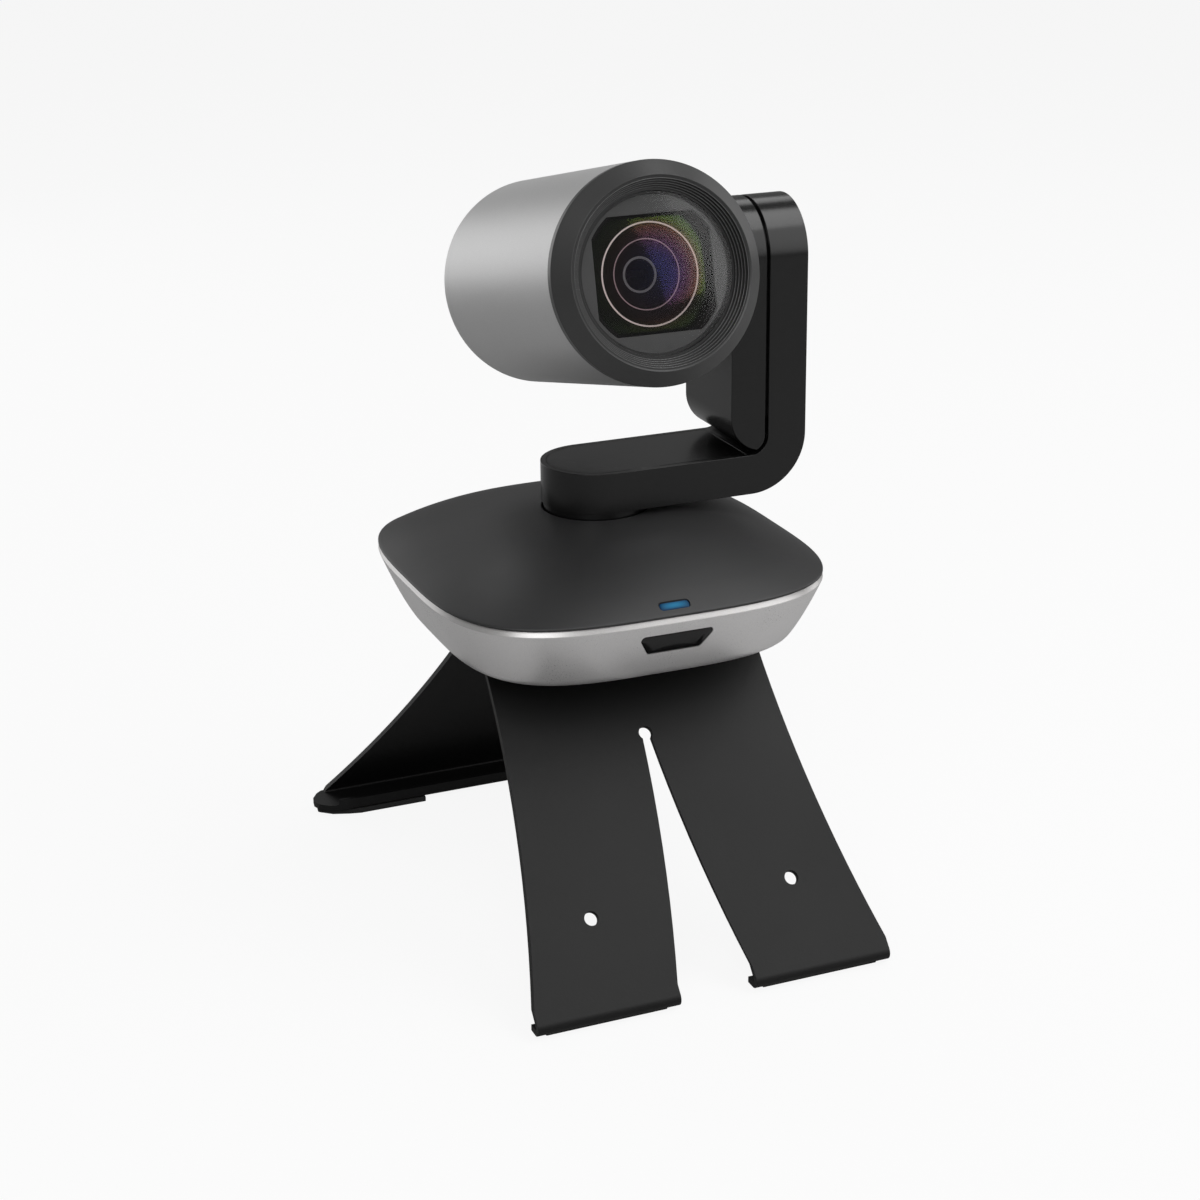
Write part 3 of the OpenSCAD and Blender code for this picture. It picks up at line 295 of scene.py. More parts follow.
silver_head = metallic("silver_head_paint", 0.60, 0.47, 0.75)
silver_bowl = metallic("silver_bowl_paint", 0.86, 0.30, 0.6, tint=(1.0, 0.985, 0.98))
# A darker copy of the bowl's silver: painted shade for the chamfer faces that face up to the lamps.
silver_rim_shaded = metallic("silver_rim_shaded", 0.62, 0.36, 0.6, tint=(1.0, 0.98, 0.97))
steel = metallic("steel", 0.60, 0.30, flake=0.6 * MM, contrast=0.08)
brass = metallic("brass", 0.70, 0.28, flake=0.6 * MM, contrast=0.08, tint=(1.0, 0.78, 0.42))
print("metallic finishes, from", silver_head.name, "to", brass.name)

# %% [markdown]
# ## Powder coat
# The two sheets are powder coated. The powder melts into a skin with a soft orange peel about a millimetre
# across, and it holds fine dust. Displacement could make the peel, but it is too shallow to show at an edge,
# so bump is enough.

# %% Powder coat on the folded sheets
def powder_coat(name, value):
    finish = Finish(name, Specular_IOR_Level=0.36)
    peel = finish.noise(1.1 * MM)
    dust = finish.noise(0.22 * MM, 1.0)
    broad = finish.noise(50 * MM)
    finish.feed(Base_Color=finish.blend(dust * 0.5 + broad * 0.5, shade(value * 0.8), shade(value * 1.25)),
                Roughness=0.50 + (broad - 0.5) * 0.14 + (dust - 0.5) * 0.12)
    finish.bump(peel * 0.7 + dust * 0.3, 0.03 * MM)
    return finish.material


sheet_black = powder_coat("powder_coat_black", 0.0038)
print("powder coat ready:", sheet_black.name)

# %% [markdown]
# ## Circuit board
# A board is green solder resist over copper tracks, which stand up a little and show lighter. Real tracks
# are a drawing. Diagonal bands, broken up by noise and cut at one level, read as tracks from outside a
# closed housing, where a board is only glimpsed.

# %% Green laminate
def laminate(name):
    finish = Finish(name)
    lines = finish.node("ShaderNodeTexWave", {"wave_type": "BANDS", "bands_direction": "DIAGONAL"},
                        {"Vector": finish.place, "Scale": 500.0, "Distortion": 1.5, "Detail": 1.0},
                        output="Fac")
    spread = finish.noise(3 * MM, 1.0)
    marks = lines * spread
    track = marks.math("GREATER_THAN", marks, 0.42)
    finish.feed(Base_Color=finish.blend(track, (0.012, 0.10, 0.045, 1), (0.03, 0.22, 0.10, 1)),
                Roughness=0.45 - track * 0.15)
    finish.bump(track, 0.03 * MM)
    return finish.material


board_green = laminate("board_green")
print("board ready:", board_green.name)

# %% [markdown]
# ## Ground edges
# The edge of a lens element is ground, and the light inside the glass leaves through it, so each edge shows
# as a thin pale ring all the way round. Tracing that light through real elements would need a very long
# render. A faint painted glow, an emission in the ring's own pale colour, gives the same even circle and
# stands in for the glint on the seat's edge.

# %% Ground edges of the lens elements, with a painted glow
def ground_edge_glow(name, value, tint, glow):
    # The emission here is a painted glow and highlight, not a lamp.
    finish = Finish(name, Roughness=0.4, Emission_Strength=glow)
    grit = finish.noise(0.4 * MM)
    color = finish.blend(grit, shade(value * 0.8, tint), shade(value * 1.2, tint))
    finish.feed(Base_Color=color, Emission_Color=color)
    finish.bump(grit, 0.002 * MM)
    return finish.material


ring_bright = ground_edge_glow("seat_ring_bright", 0.70, (1.0, 0.86, 0.84), 0.62)
ring_dim = ground_edge_glow("seat_ring_dim", 0.30, (1.0, 0.72, 0.78), 0.62)
ring_grey = ground_edge_glow("seat_ring_grey", 0.13, (1.0, 0.98, 1.03), 0.6)
print("ground edges ready:", ring_bright.name, ring_dim.name, ring_grey.name)

# %% [markdown]
# ## Status light
# The light is a small clear bar with a blue diode behind its middle, so it is bright there and dark at its
# rim. A lamp behind real glass would be slow and noisy at this size. The glow is a formula instead: one
# parabola along the bar times one across it.

# %% Blue light guide
LIGHT = Vector((0, -62.2 * MM))
LIGHT_HALF = (4.8 * MM, 1.15 * MM)


def light_guide(name):
    finish = Finish(name, Roughness=0.4, Specular_IOR_Level=0.15, Emission_Strength=0.28)
    middle = BASE @ LIGHT.to_3d()
    x, y = parts_of(finish.tree, finish.place, "XY")
    along = (x - middle.x) / LIGHT_HALF[0]
    across = (y - middle.y) / LIGHT_HALF[1]
    glow = (1 - along * along) * (1 - across * across)
    cloud = finish.noise(3 * MM, 1.0)
    finish.feed(Base_Color=finish.blend(cloud, (0.002, 0.016, 0.04, 1), (0.003, 0.03, 0.07, 1)),
                Emission_Color=finish.blend(glow, (0.0, 0.02, 0.09, 1), (0.03, 0.50, 0.95, 1)))
    return finish.material


blue_light = light_guide("blue_light_guide")
print("light guide", [round(2 * v / MM, 2) for v in LIGHT_HALF], "mm")

# %% [markdown]
# ## Coated glass
# Camera glass is nearly clear, and it is its coatings that are seen: each surface sends back a little light
# in its own tint. Refraction would bend little here and add noise, so a sheet of glass is a clear shader
# mixed with a tinted gloss. The mix is by how squarely the surface faces the eye, as on real glass.

# %% Coated glass
def facing_share(tree, square_on, glancing):
    """A share that goes from one value where the surface faces the eye to another where it turns away."""
    edge = make(tree, "ShaderNodeLayerWeight", None, {"Blend": 0.25}, output="Facing")
    return square_on + edge * (glancing - square_on)


def show_through(tree, gloss, share, clear_tint):
    """A share of a gloss shader over clear glass, as the material's surface."""
    clear = make(tree, "ShaderNodeBsdfTransparent", None, {"Color": (*clear_tint, 1)})
    both = make(tree, "ShaderNodeMixShader", None, {0: share, 1: clear, 2: gloss})
    tree.links.new(both.socket, tree.nodes["Material Output"].inputs["Surface"])


def coated_glass(name, tint, square_on, glancing, rough=0.02):
    material = bpy.data.materials.new(name)
    material.use_nodes = True
    tree = material.node_tree
    tree.nodes.remove(tree.nodes["Principled BSDF"])
    place = make(tree, "ShaderNodeTexCoord", output="Object")
    smear = make(tree, "ShaderNodeTexNoise", None, {"Vector": place, "Scale": 60.0, "Detail": 2.0})
    gloss = make(tree, "ShaderNodeBsdfGlossy", None, {"Color": (*tint, 1), "Roughness": rough})
    share = facing_share(tree, square_on, glancing) + (smear - 0.5) * 0.01
    show_through(tree, gloss, share, (0.95, 0.95, 0.95))
    return material


window_glass = coated_glass("window_glass", (0.6, 0.6, 0.6), 0.03, 0.15, 0.06)
violet_glass = coated_glass("violet_coating", (0.55, 0.35, 1.0), 0.05, 0.4)
amber_glass = coated_glass("amber_coating", (1.0, 0.5, 0.3), 0.05, 0.4)
print("glass ready:", window_glass.name, violet_glass.name, amber_glass.name)

# %% [markdown]
# ## Finishes that follow the lens axis
# Two finishes change with the distance from the lens axis. The bezel is satin on its sloping face and darker
# on the steps inside its lip. The front element's coatings send back violet near the middle, then brown,
# then green towards the rim. Both read that distance from Object coordinates, turned to the head by a
# Mapping node, so the pattern stays on the piece as the head moves.

# %% Bezel plastic and coated dome
LIP_R = 28.7
DOME_RIM = 20.6


def lens_radius(tree):
    """Distance from the lens axis, in metres, from the piece's own coordinates."""
    place = make(tree, "ShaderNodeTexCoord", output="Object")
    local = make(tree, "ShaderNodeMapping", {"vector_type": "TEXTURE"},
                 {"Vector": place, "Location": HEAD.translation, "Rotation": HEAD.to_euler()})
    x, z = parts_of(tree, local, "XZ")
    return (x * x + z * z) ** 0.5


def bezel_plastic(name, face, inside):
    """Satin black on the sloping face, and a deeper black on the steps inside it."""
    finish = Finish(name)
    grain = finish.noise(0.3 * MM)
    outer = finish.node("ShaderNodeMapRange", None, {"Value": lens_radius(finish.tree),
                                                     "From Min": (LIP_R - 0.7) * MM, "From Max": LIP_R * MM})
    black = finish.blend(outer, shade(inside), shade(face))
    finish.feed(Base_Color=finish.blend(grain * 0.25, black, shade(0.0)),
                Roughness=0.40 + (grain - 0.5) * 0.08 - outer * 0.04)
    finish.bump(grain, 0.005 * MM)
    return finish.material


def coated_by_radius(name, square_on, glancing, stops):
    """A clear dome whose reflection is tinted by the distance from the axis."""
    finish = Finish(name, Metallic=1.0, Roughness=0.10)
    share = lens_radius(finish.tree) / (DOME_RIM * MM)
    tint = finish.node("ShaderNodeValToRGB", {"stops": stops}, {"Fac": share}, output="Color")
    finish.feed(Base_Color=tint)
    mirror = Value(finish.tree, finish.shader.outputs["BSDF"])
    show_through(finish.tree, mirror, facing_share(finish.tree, square_on, glancing), (0.95, 0.94, 0.94))
    return finish.material


bezel_black = bezel_plastic("bezel_black", 0.044, 0.007)
coated_dome = coated_by_radius("coated_dome", 0.03, 2.0, [
    (0.0, (0.05, 0.06, 0.22)), (0.30, (0.07, 0.055, 0.21)), (0.50, (0.15, 0.065, 0.14)),
    (0.68, (0.21, 0.09, 0.065)), (0.82, (0.11, 0.17, 0.03)), (1.0, (0.07, 0.15, 0.055))])
print("lens finishes ready:", bezel_black.name, coated_dome.name)

# %% [markdown]
# ## From solid to finished piece
# A CAD solid arrives as loose triangles with knife edges. Real mouldings and sheets have small rounded
# edges that catch a line of light. This helper copies the solid, welds it, clears the flat faces of their
# triangles, rounds the edges with Bevel, and shades it smooth between the edges that stay sharp.

# %% Helpers that finish a piece
WELD = 0.002 * MM
FLAT = math.radians(0.6)
SHARP = math.radians(28)


def new_piece(name, mesh):
    piece = bpy.data.objects.new(name, mesh)
    scene_objects.link(piece)
    return piece


def apply_modifiers(piece):
    """The piece's modifiers made real and removed."""
    bpy.context.view_layer.update()
    seen = piece.evaluated_get(bpy.context.evaluated_depsgraph_get())
    mesh = bpy.data.meshes.new_from_object(seen)
    piece.modifiers.clear()
    piece.data = mesh


def smooth(piece):
    """Smooth between sharp edges. The large faces decide the normals, so flat stays flat beside a bevel."""
    for face in piece.data.polygons:
        face.use_smooth = True
    piece.data.set_sharp_from_angle(angle=SHARP)
    piece.modifiers.new("flat_faces", "WEIGHTED_NORMAL").keep_sharp = True
    apply_modifiers(piece)


def bevel_edges(piece, width, segments, angle):
    modifier = piece.modifiers.new("edges", "BEVEL")
    modifier.width, modifier.segments = width, segments
    modifier.limit_method, modifier.angle_limit = "ANGLE", math.radians(angle)
    apply_modifiers(piece)


def finish_piece(piece, material, node):
    """The piece shaded smooth, in its finish, standing for a node and riding on the node's body."""
    smooth(piece)
    piece.data.materials.clear()
    piece.data.materials.append(material)
    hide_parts(node)
    bodies = frame["record"]["behaviour"]["bodies"]
    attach(piece, next(body for body, nodes in bodies.items() if node in nodes))
    print(node, "dressed:", len(piece.data.polygons), "faces")


def dressed(node, material, bevel, segments=2, angle=30):
    """A welded, rounded copy of a CAD node that stands for it."""
    mesh = frame["nodes"][node].data.copy()
    work = bmesh.new()
    work.from_mesh(mesh)
    bmesh.ops.remove_doubles(work, verts=work.verts, dist=WELD)
    bmesh.ops.dissolve_limit(work, angle_limit=FLAT, verts=work.verts, edges=work.edges)
    work.to_mesh(mesh)
    work.free()
    piece = new_piece(node + "_finish", mesh)
    if bevel:
        bevel_edges(piece, bevel, segments, angle)
    finish_piece(piece, material, node)


print("edges sharper than", round(math.degrees(SHARP)), "degrees stay sharp")

# %% [markdown]
# ## The stand
# Two steel sheets, folded and riveted under the camera. Their shape is already right in the solids, so they
# are copied, not drawn again. Their edges are only lightly broken, so the bevel is narrow: just enough to
# give the thin bright line along the cut edge.

# %% Folded sheets, rivets, screw and feet
for node in ("front_stand", "rear_stand"):
    dressed(node, sheet_black, 0.25 * MM)
dressed("stand_rivets", steel, 0.2 * MM)
dressed("camera_screw", soft_black, 0.4 * MM)
for node in ("front_pads", "rear_pads"):
    dressed(node, rubber, 0.3 * MM)

# %% [markdown]
# ## The turning arm
# One moulding bends up from the bar to the upright, and an inner half-shell closes the upright round the
# tilt drive. The groove between the two is a real gap in the solids. The arm is glossier than the rest, so
# its wider, rounder edges are what shows its shape.

# %% Arm
dressed("arm_frame", arm_black, 0.9 * MM, 4, 40)
dressed("tilt_housing", arm_black, 0.6 * MM, 3, 40)
for node in ("bar_lid", "pan_shaft", "tilt_shaft"):
    dressed(node, arm_black, 0.3 * MM)

# %% [markdown]
# ## The two shells of the base
# Seen from above, the base is a squircle: between an ellipse and a rectangle, with an exponent of 3.5. Both
# shells are stacks of such outlines, so the mesh is written as rings from the rule, with points at even
# angles. That gives clean quads all round, which a soft dome needs for its reflections.

# %% Rings and shells
HALF_W, HALF_D, SQUARE = 65 * MM, 65.5 * MM, 3.5
SEAM, COVER_TOP, WALL, PAD_T = 23 * MM, 39.5 * MM, 2 * MM, 0.8 * MM
CHAMFER = SEAM - 1.7 * MM
AROUND = 288


def squircle(share, z, inset=0.0, square=SQUARE):
    """One outline of the base, at a share of its full size and drawn in by an inset."""
    points = []
    for i in range(AROUND):
        turn = 2 * math.pi * i / AROUND
        across, along = math.cos(turn), math.sin(turn)
        reach = (abs(across) ** square + abs(along) ** square) ** (-1 / square)
        points.append(Vector(((share * HALF_W - inset) * reach * across,
                              (share * HALF_D - inset) * reach * along, z)))
    return points


def disc(radius, z):
    turns = [2 * math.pi * i / AROUND for i in range(AROUND)]
    return [Vector((radius * math.cos(turn), radius * math.sin(turn), z)) for turn in turns]


def shell(name, points, faces):
    """A closed shell from its points and faces, with the faces turned outwards."""
    mesh = bpy.data.meshes.new(name)
    mesh.from_pydata(points, [], faces)
    work = bmesh.new()
    work.from_mesh(mesh)
    bmesh.ops.recalc_face_normals(work, faces=work.faces)
    work.to_mesh(mesh)
    work.free()
    return new_piece(name, mesh)


def shell_of_rings(name, rings, place):
    """A closed wall through rings of equal length, the last one joined to the first."""
    n = len(rings[0])
    faces = []
    for k in range(len(rings)):
        low, high = k * n, ((k + 1) % len(rings)) * n
        for i in range(n):
            j = (i + 1) % n
            faces.append((low + i, low + j, high + j, high + i))
    return shell(name, [place @ point for ring in rings for point in ring], faces)


print("rings of", AROUND, "points, base", 2 * HALF_W / MM, "by", 2 * HALF_D / MM, "mm")

# %% [markdown]
# ## Slots that follow a curved skin
# The light and the remote-control window sit almost flush in curved skins. Each is an outline with rounded
# corners, thrown onto the skin's own formula, and the same outline a little larger cuts its slot with
# Boolean, so that an even shadow gap is left round it. A flat box pushed into the skin would stand proud
# at one end and sink at the other.

# %% Outlines, plugs and cutters
PLUG_EDGE = 0.15 * MM
PLUG_RINGS = 8


def rectangle(left, low, right, high):
    return [(left, low), (right, low), (right, high), (left, high)]


def rounded_outline(corners, radius, steps=6):
    """A closed outline with each corner replaced by an arc of some steps."""
    outline = []
    corners = [Vector(corner) for corner in corners]
    for before, here, after in zip(corners[-1:] + corners, corners, corners[1:] + corners[:1]):
        into, away = (before - here).normalized(), (after - here).normalized()
        half = into.angle(away) / 2
        reach = radius / math.tan(half)
        center = here + (into + away).normalized() * radius / math.sin(half)
        first, last = here + into * reach - center, here + away * reach - center
        side = 1 if first.x * last.y - first.y * last.x > 0 else -1
        whole = side * first.angle(last)
        for k in range(steps + 1):
            cosine, sine = math.cos(whole * k / steps), math.sin(whole * k / steps)
            outline.append(center + Vector((first.x * cosine - first.y * sine,
                                            first.x * sine + first.y * cosine)))
    return outline


def outline_mm(corners, radius, steps=6):
    """A rounded outline from corners and a radius in millimetres."""
    return rounded_outline([Vector(corner) * MM for corner in corners], radius * MM, steps)


def grown(outline, by):
    """The outline with each point moved outwards by a distance."""
    out = []
    for i, point in enumerate(outline):
        along = (outline[(i + 1) % len(outline)] - outline[i - 1]).normalized()
        out.append(point + Vector((along.y, -along.x)) * by)
    return out


def plug(name, outline, skin, way_in, depth, place):
    """A plug whose face follows skin(u, v) -> point and whose back lies a depth behind, along the way in."""
    middle = sum(outline, Vector((0, 0))) / len(outline)
    loops = []
    for k in range(1, PLUG_RINGS + 1):
        pull = PLUG_EDGE if k == PLUG_RINGS else 0.0
        loops.append([skin(*(middle + (point - middle) * (k / PLUG_RINGS))) + way_in * pull
                      for point in outline])
    loops.append([skin(*point) + way_in * depth for point in outline])
    points = [skin(*middle)] + [point for loop in loops for point in loop]
    points.append(skin(*middle) + way_in * depth)
    n = len(outline)
    last = 1 + (len(loops) - 1) * n
    faces = [(0, 1 + i, 1 + (i + 1) % n) for i in range(n)]
    for low in range(1, last, n):
        for i in range(n):
            j = (i + 1) % n
            faces.append((low + i, low + n + i, low + n + j, low + j))
    faces += [(last + i, len(points) - 1, last + (i + 1) % n) for i in range(n)]
    return shell(name, [place @ point for point in points], faces)


def cut(piece, cutter):
    modifier = piece.modifiers.new("slot", "BOOLEAN")
    modifier.operation, modifier.solver, modifier.object = "DIFFERENCE", "EXACT", cutter
    apply_modifiers(piece)
    bpy.data.objects.remove(cutter)


print("a slot's corner has", len(rounded_outline(rectangle(0, 0, 4, 4), 1)) // 4, "points")

# %% [markdown]
# ## The cover
# The cover is a low dome with a round hole for the neck, and its outline turns from the neck's circle into
# the rim's squircle on the way out. So both its height and its exponent are formulas of one number, how far
# out a ring lies. A subdivided box would bulge at the corners.

# %% Cover and status light
NECK_HOLE = 17.5 * MM
RIM_RISE = 0.9 * MM
SKIN_SQUARE = 3.3
LIGHT_GAP = 0.32 * MM
DOWN = Vector((0, 0, -1))


def past_neck(share):
    """How far out a ring of the cover lies: 0 at the neck, 1 at the rim."""
    neck = NECK_HOLE / HALF_W
    return (share - neck) / (1 - neck)


def cover_height(share):
    return COVER_TOP - (COVER_TOP - SEAM - RIM_RISE) * past_neck(share) ** 2


def cover_ring(share, wall=0.0):
    """One ring of the dome: of its outer skin, or of its inner skin where a wall is given."""
    square = 2 + (SQUARE - 2) * max(0.0, past_neck(share)) ** 0.4
    return squircle(share, cover_height(share) - wall, wall * share, square)


def cover_skin(x, y):
    share = (abs(x / HALF_W) ** SKIN_SQUARE + abs(y / HALF_D) ** SKIN_SQUARE) ** (1 / SKIN_SQUARE)
    return Vector((x, y, cover_height(share)))


rim_share = 0.9965
rim = [squircle(1, SEAM + z * MM, inset * MM)
       for z, inset in ((0.25, 0.15), (0.4, 0), (0.7, 0), (0.87, 0.08))]
rim.append(squircle(rim_share, cover_height(rim_share)))
dome = [cover_ring(1 - 0.012 * k) for k in range(1, 12)] + [cover_ring(0.86 - 0.04 * k) for k in range(15)]
neck = [disc(NECK_HOLE + 0.25 * MM, COVER_TOP - 0.001 * MM), disc(NECK_HOLE, COVER_TOP - 0.2 * MM),
        disc(NECK_HOLE, COVER_TOP - WALL)]
inside = [cover_ring(share, WALL) for share in (0.4, 0.6, 0.75, 0.88)]
inside.append(squircle(1, SEAM + 0.25 * MM, WALL))
cover = shell_of_rings("cover_shell", rim + dome + neck + inside, BASE)
light_outline = rounded_outline([LIGHT + Vector((x * LIGHT_HALF[0], y * LIGHT_HALF[1]))
                                 for x, y in rectangle(-1, -1, 1, 1)], 0.9 * MM)
cut(cover, plug("light_cutter", grown(light_outline, LIGHT_GAP), cover_skin, DOWN, 4 * MM,
                Matrix.Translation((0, 0, 1 * MM)) @ BASE))
finish_piece(cover, graphite, "base_cover")
light = plug("light_guide", light_outline, cover_skin, DOWN, 3 * MM,
             Matrix.Translation((0, 0, -0.1 * MM)) @ BASE)
finish_piece(light, blue_light, "status_light")

# %% [markdown]
# ## The bowl
# Below the seam a bright chamfer runs all round, then the painted wall curves down and in. Its rings shrink
# by a power of their height, which gives the wall its long even curve. The chamfer faces up to the lamps, so
# its faces take a second, darker copy of the silver as painted shade, which shows bright there without going
# white.

# %% Bowl with its bright chamfer, window and ports
FOOT_SHARE = 0.83
FOOT_INSET = 4 * MM
WINDOW_GAP = 0.13 * MM
BACKWARDS = Vector((0, 1, 0))
PROUD = Matrix.Translation((0, -4 * MM, 0))
TURN_BACK = Matrix.Diagonal((1, -1, 1, 1))


def bowl_share(z):
    return FOOT_SHARE + (1 - FOOT_SHARE) * (max(z, 0) / CHAMFER) ** 0.75


def bowl_ring(z, inset=0.0):
    return squircle(bowl_share(z), z, inset)


def bowl_skin(x, z):
    share = bowl_share(z)
    part = max(0.0, 1 - abs(x / (share * HALF_W)) ** SQUARE)
    return Vector((x, -share * HALF_D * part ** (1 / SQUARE), z))


edge = [squircle(1, SEAM, 1.1 * MM), squircle(1, SEAM - 0.15 * MM, 0.8 * MM),
        squircle(1, CHAMFER + 0.2 * MM, 0.08 * MM), squircle(1, CHAMFER - 0.05 * MM, 0.02 * MM)]
wall = [bowl_ring(z * MM) for z in (*range(21, 3, -1), 3.2)]
foot = [bowl_ring(z * MM, inset * MM) for z, inset in ((2.4, 0.1), (1.7, 0.4), (1.1, 0.9))]
foot += [bowl_ring(PAD_T, 1.6 * MM), bowl_ring(PAD_T, FOOT_INSET),
         squircle(bowl_share(PAD_T), PAD_T + 2.4 * MM, FOOT_INSET)]
inside = [bowl_ring(z * MM, WALL) for z in (3.4, 6, 10, 14, 18)]
inside += [squircle(1, CHAMFER, WALL), squircle(1, SEAM, WALL)]
bowl = shell_of_rings("bowl_shell", edge + wall + foot + inside, BASE)
window_outline = outline_mm([(-8.4, 10.7), (9.0, 10.7), (13.4, 17.5), (-12.4, 17.5)], 1.3)
cut(bowl, plug("window_cutter", grown(window_outline, WINDOW_GAP), bowl_skin, BACKWARDS, 9 * MM,
               PROUD @ BASE))
PORTS = {"power": outline_mm(rectangle(-24, 10, -16, 18), 3.99, 10),
         "data": outline_mm(rectangle(-2.5, 11, 10.5, 17), 0.6),
         "lock": outline_mm(rectangle(28.5, 12.5, 35.5, 15.5), 1.0)}
for name, outline in PORTS.items():
    cut(bowl, plug(name + "_cutter", outline, bowl_skin, BACKWARDS, 12 * MM, BASE @ TURN_BACK @ PROUD))
finish_piece(bowl, silver_bowl, "base_housing")
# Chamfer faces that face up take the darker silver, as painted shade.
bowl.data.materials.append(silver_rim_shaded)
for face in bowl.data.polygons:
    if face.center.z - base_floor > CHAMFER - 0.06 * MM and face.normal.z > 0.1:
        face.material_index = 1
window = plug("remote_window_plug", window_outline, bowl_skin, BACKWARDS, 2 * MM,
              Matrix.Translation((0, 0.12 * MM, 0)) @ BASE)
finish_piece(window, window_black, "remote_window")
dressed("bottom_plate", soft_black, 0.3 * MM)
dressed("base_pad", rubber, 0.2 * MM)

# %% [markdown]
# ## Turned pieces round the lens
# Bezel, lens barrel and front element are all turned, so each is one half section swept round: points of
# (radius, place along the lens axis) in millimetres. The corners of a section are rounded first, because on
# a black moulding only the thin line of light on each rounded edge shows where one step ends and the next
# begins.

# %% Sweeping a half section
AROUND_LENS = 192


def turned(name, section, closed=True):
    """A half section in millimetres swept round the lens axis. A radius of 0 closes an end to a point."""
    points, rows, faces = [], [], []
    for radius, y in section:
        turns = [2 * math.pi * i / AROUND_LENS for i in range(AROUND_LENS)] if radius > 0 else [0]
        rows.append(range(len(points), len(points) + len(turns)))
        points += [HEAD @ (Vector((radius * math.cos(turn), y, radius * math.sin(turn))) * MM)
                   for turn in turns]
    pairs = list(zip(rows, rows[1:]))
    if closed:
        pairs.append((rows[-1], rows[0]))
    for low, high in pairs:
        for i in range(AROUND_LENS):
            j = (i + 1) % AROUND_LENS
            if len(low) == 1:
                faces.append((low[0], high[j], high[i]))
            elif len(high) == 1:
                faces.append((low[i], low[j], high[0]))
            else:
                faces.append((low[i], low[j], high[j], high[i]))
    return shell(name, points, faces)


def softened(section, radius):
    return [tuple(point) for point in rounded_outline(section, radius, 3)]


print("turned pieces have", AROUND_LENS, "points round")

# %% [markdown]
# ## The bezel
# A black moulding closes the front of the barrel: a band, a sloping face, a lip, then five steps down to the
# window seat. The steps stop light from grazing across the window into the lens. They are worked out in a
# loop, so the fine pale beads made further on, painted highlights along the step edges, can follow the same
# rise and tread.

# %% Bezel
BARREL_R, BAND, FACE, LIP = 33.4, -47.6, -50.6, -54.6
LIP_FLAT = 0.5
STEPS, STEP_IN, STEP_BACK = 5, 0.6, 0.86
FIRST_STEP = LIP + 0.35 * STEP_BACK
GLASS_R, MASK_R, TUBE_R, FIT = 24.2, 26.0, 31.4, 0.05
GLASS, LEDGE, MASK, SPIGOT = -50.3, -49.1, -48.6, -43.6
section = [(BARREL_R, BAND), (BARREL_R, FACE + 0.6), (BARREL_R - 0.6, FACE), (LIP_R, LIP)]
for i in range(STEPS):
    outer, tread = LIP_R - LIP_FLAT - STEP_IN * i, FIRST_STEP + STEP_BACK * i
    section += [(outer, tread), (outer - STEP_IN, tread)]
section += [(GLASS_R + 1, GLASS), (GLASS_R + FIT, GLASS), (GLASS_R + FIT, LEDGE), (GLASS_R - 0.9, LEDGE),
            (GLASS_R - 0.9, MASK), (MASK_R + FIT, MASK), (MASK_R + FIT, SPIGOT), (TUBE_R - FIT, SPIGOT),
            (TUBE_R - FIT, BAND)]
finish_piece(turned("bezel", softened(section, 0.13)), bezel_black, "front_bezel")

# %% [markdown]
# ## The lens barrel and the front element
# Behind the window the barrel steps inwards like a dark funnel. The front element is a shallow dome over
# it, drawn as a circle's arc. The window, the mask and the inner lenses are flat or plain enough to be
# copied from their solids, and glass edges stay sharp.

# %% Lens barrel, dome and window
FLANGE, SLEEVE_R, SLEEVE_END = -48.0, 18, -30
outside = [(MASK_R, FLANGE), (MASK_R, FLANGE + 1.2), (22.9, FLANGE + 1.2), (22.9, -43.9), (SLEEVE_R, -43.4),
           (SLEEVE_R, SLEEVE_END), (8, SLEEVE_END), (8, SLEEVE_END - 2)]
funnel = [(4.4, -32.4), (4.4, -36.2), (5.6, -36.7), (9.4, -37.2), (9.8, -41.4), (10.9, -41.9), (14.2, -42.4),
          (14.8, -44.3), (16.0, -44.8), (21.3, -45.4), (21.3, FLANGE)]
finish_piece(turned("lens_barrel", softened(outside + funnel, 0.12)), inner_black, "lens_tube")
DOME_R, DOME_TOP, DOME_THICK, DOME_RINGS = 80.0, -48.45, 0.6, 24


def dome_y(radius):
    return DOME_TOP + DOME_R - math.sqrt(DOME_R * DOME_R - radius * radius)


radii = [DOME_RIM * k / DOME_RINGS for k in range(DOME_RINGS + 1)]
section = [(r, dome_y(r)) for r in radii] + [(r, dome_y(r) + DOME_THICK) for r in reversed(radii)]
finish_piece(turned("front_element", section, closed=False), coated_dome, "front_lens")
dressed("front_window", window_glass, 0)
dressed("aperture_mask", mask_grey, 0.1 * MM)
dressed("zoom_lens", violet_glass, 0)
dressed("focus_lens", amber_glass, 0)
print("dome rises", round(dome_y(DOME_RIM) - DOME_TOP, 2), "mm")

# %% [markdown]
# ## Rings by Geometry Nodes
# A lens shows thin bright circles where the edge of each element's seat catches the light; here they are
# rings with a painted glow. All of them are one idea: circles on a line, each a step smaller and a step
# deeper, given a round section. One node tree with named inputs makes them, and also the fine pale beads on
# the edges of the bezel's steps, which are painted highlights.

# %% One tree for all rings
INPUTS = {"Count": "Int", "First Radius": "Float", "Radius Step": "Float", "Depth Step": "Float",
          "Bead Radius": "Float", "Material": "Material"}


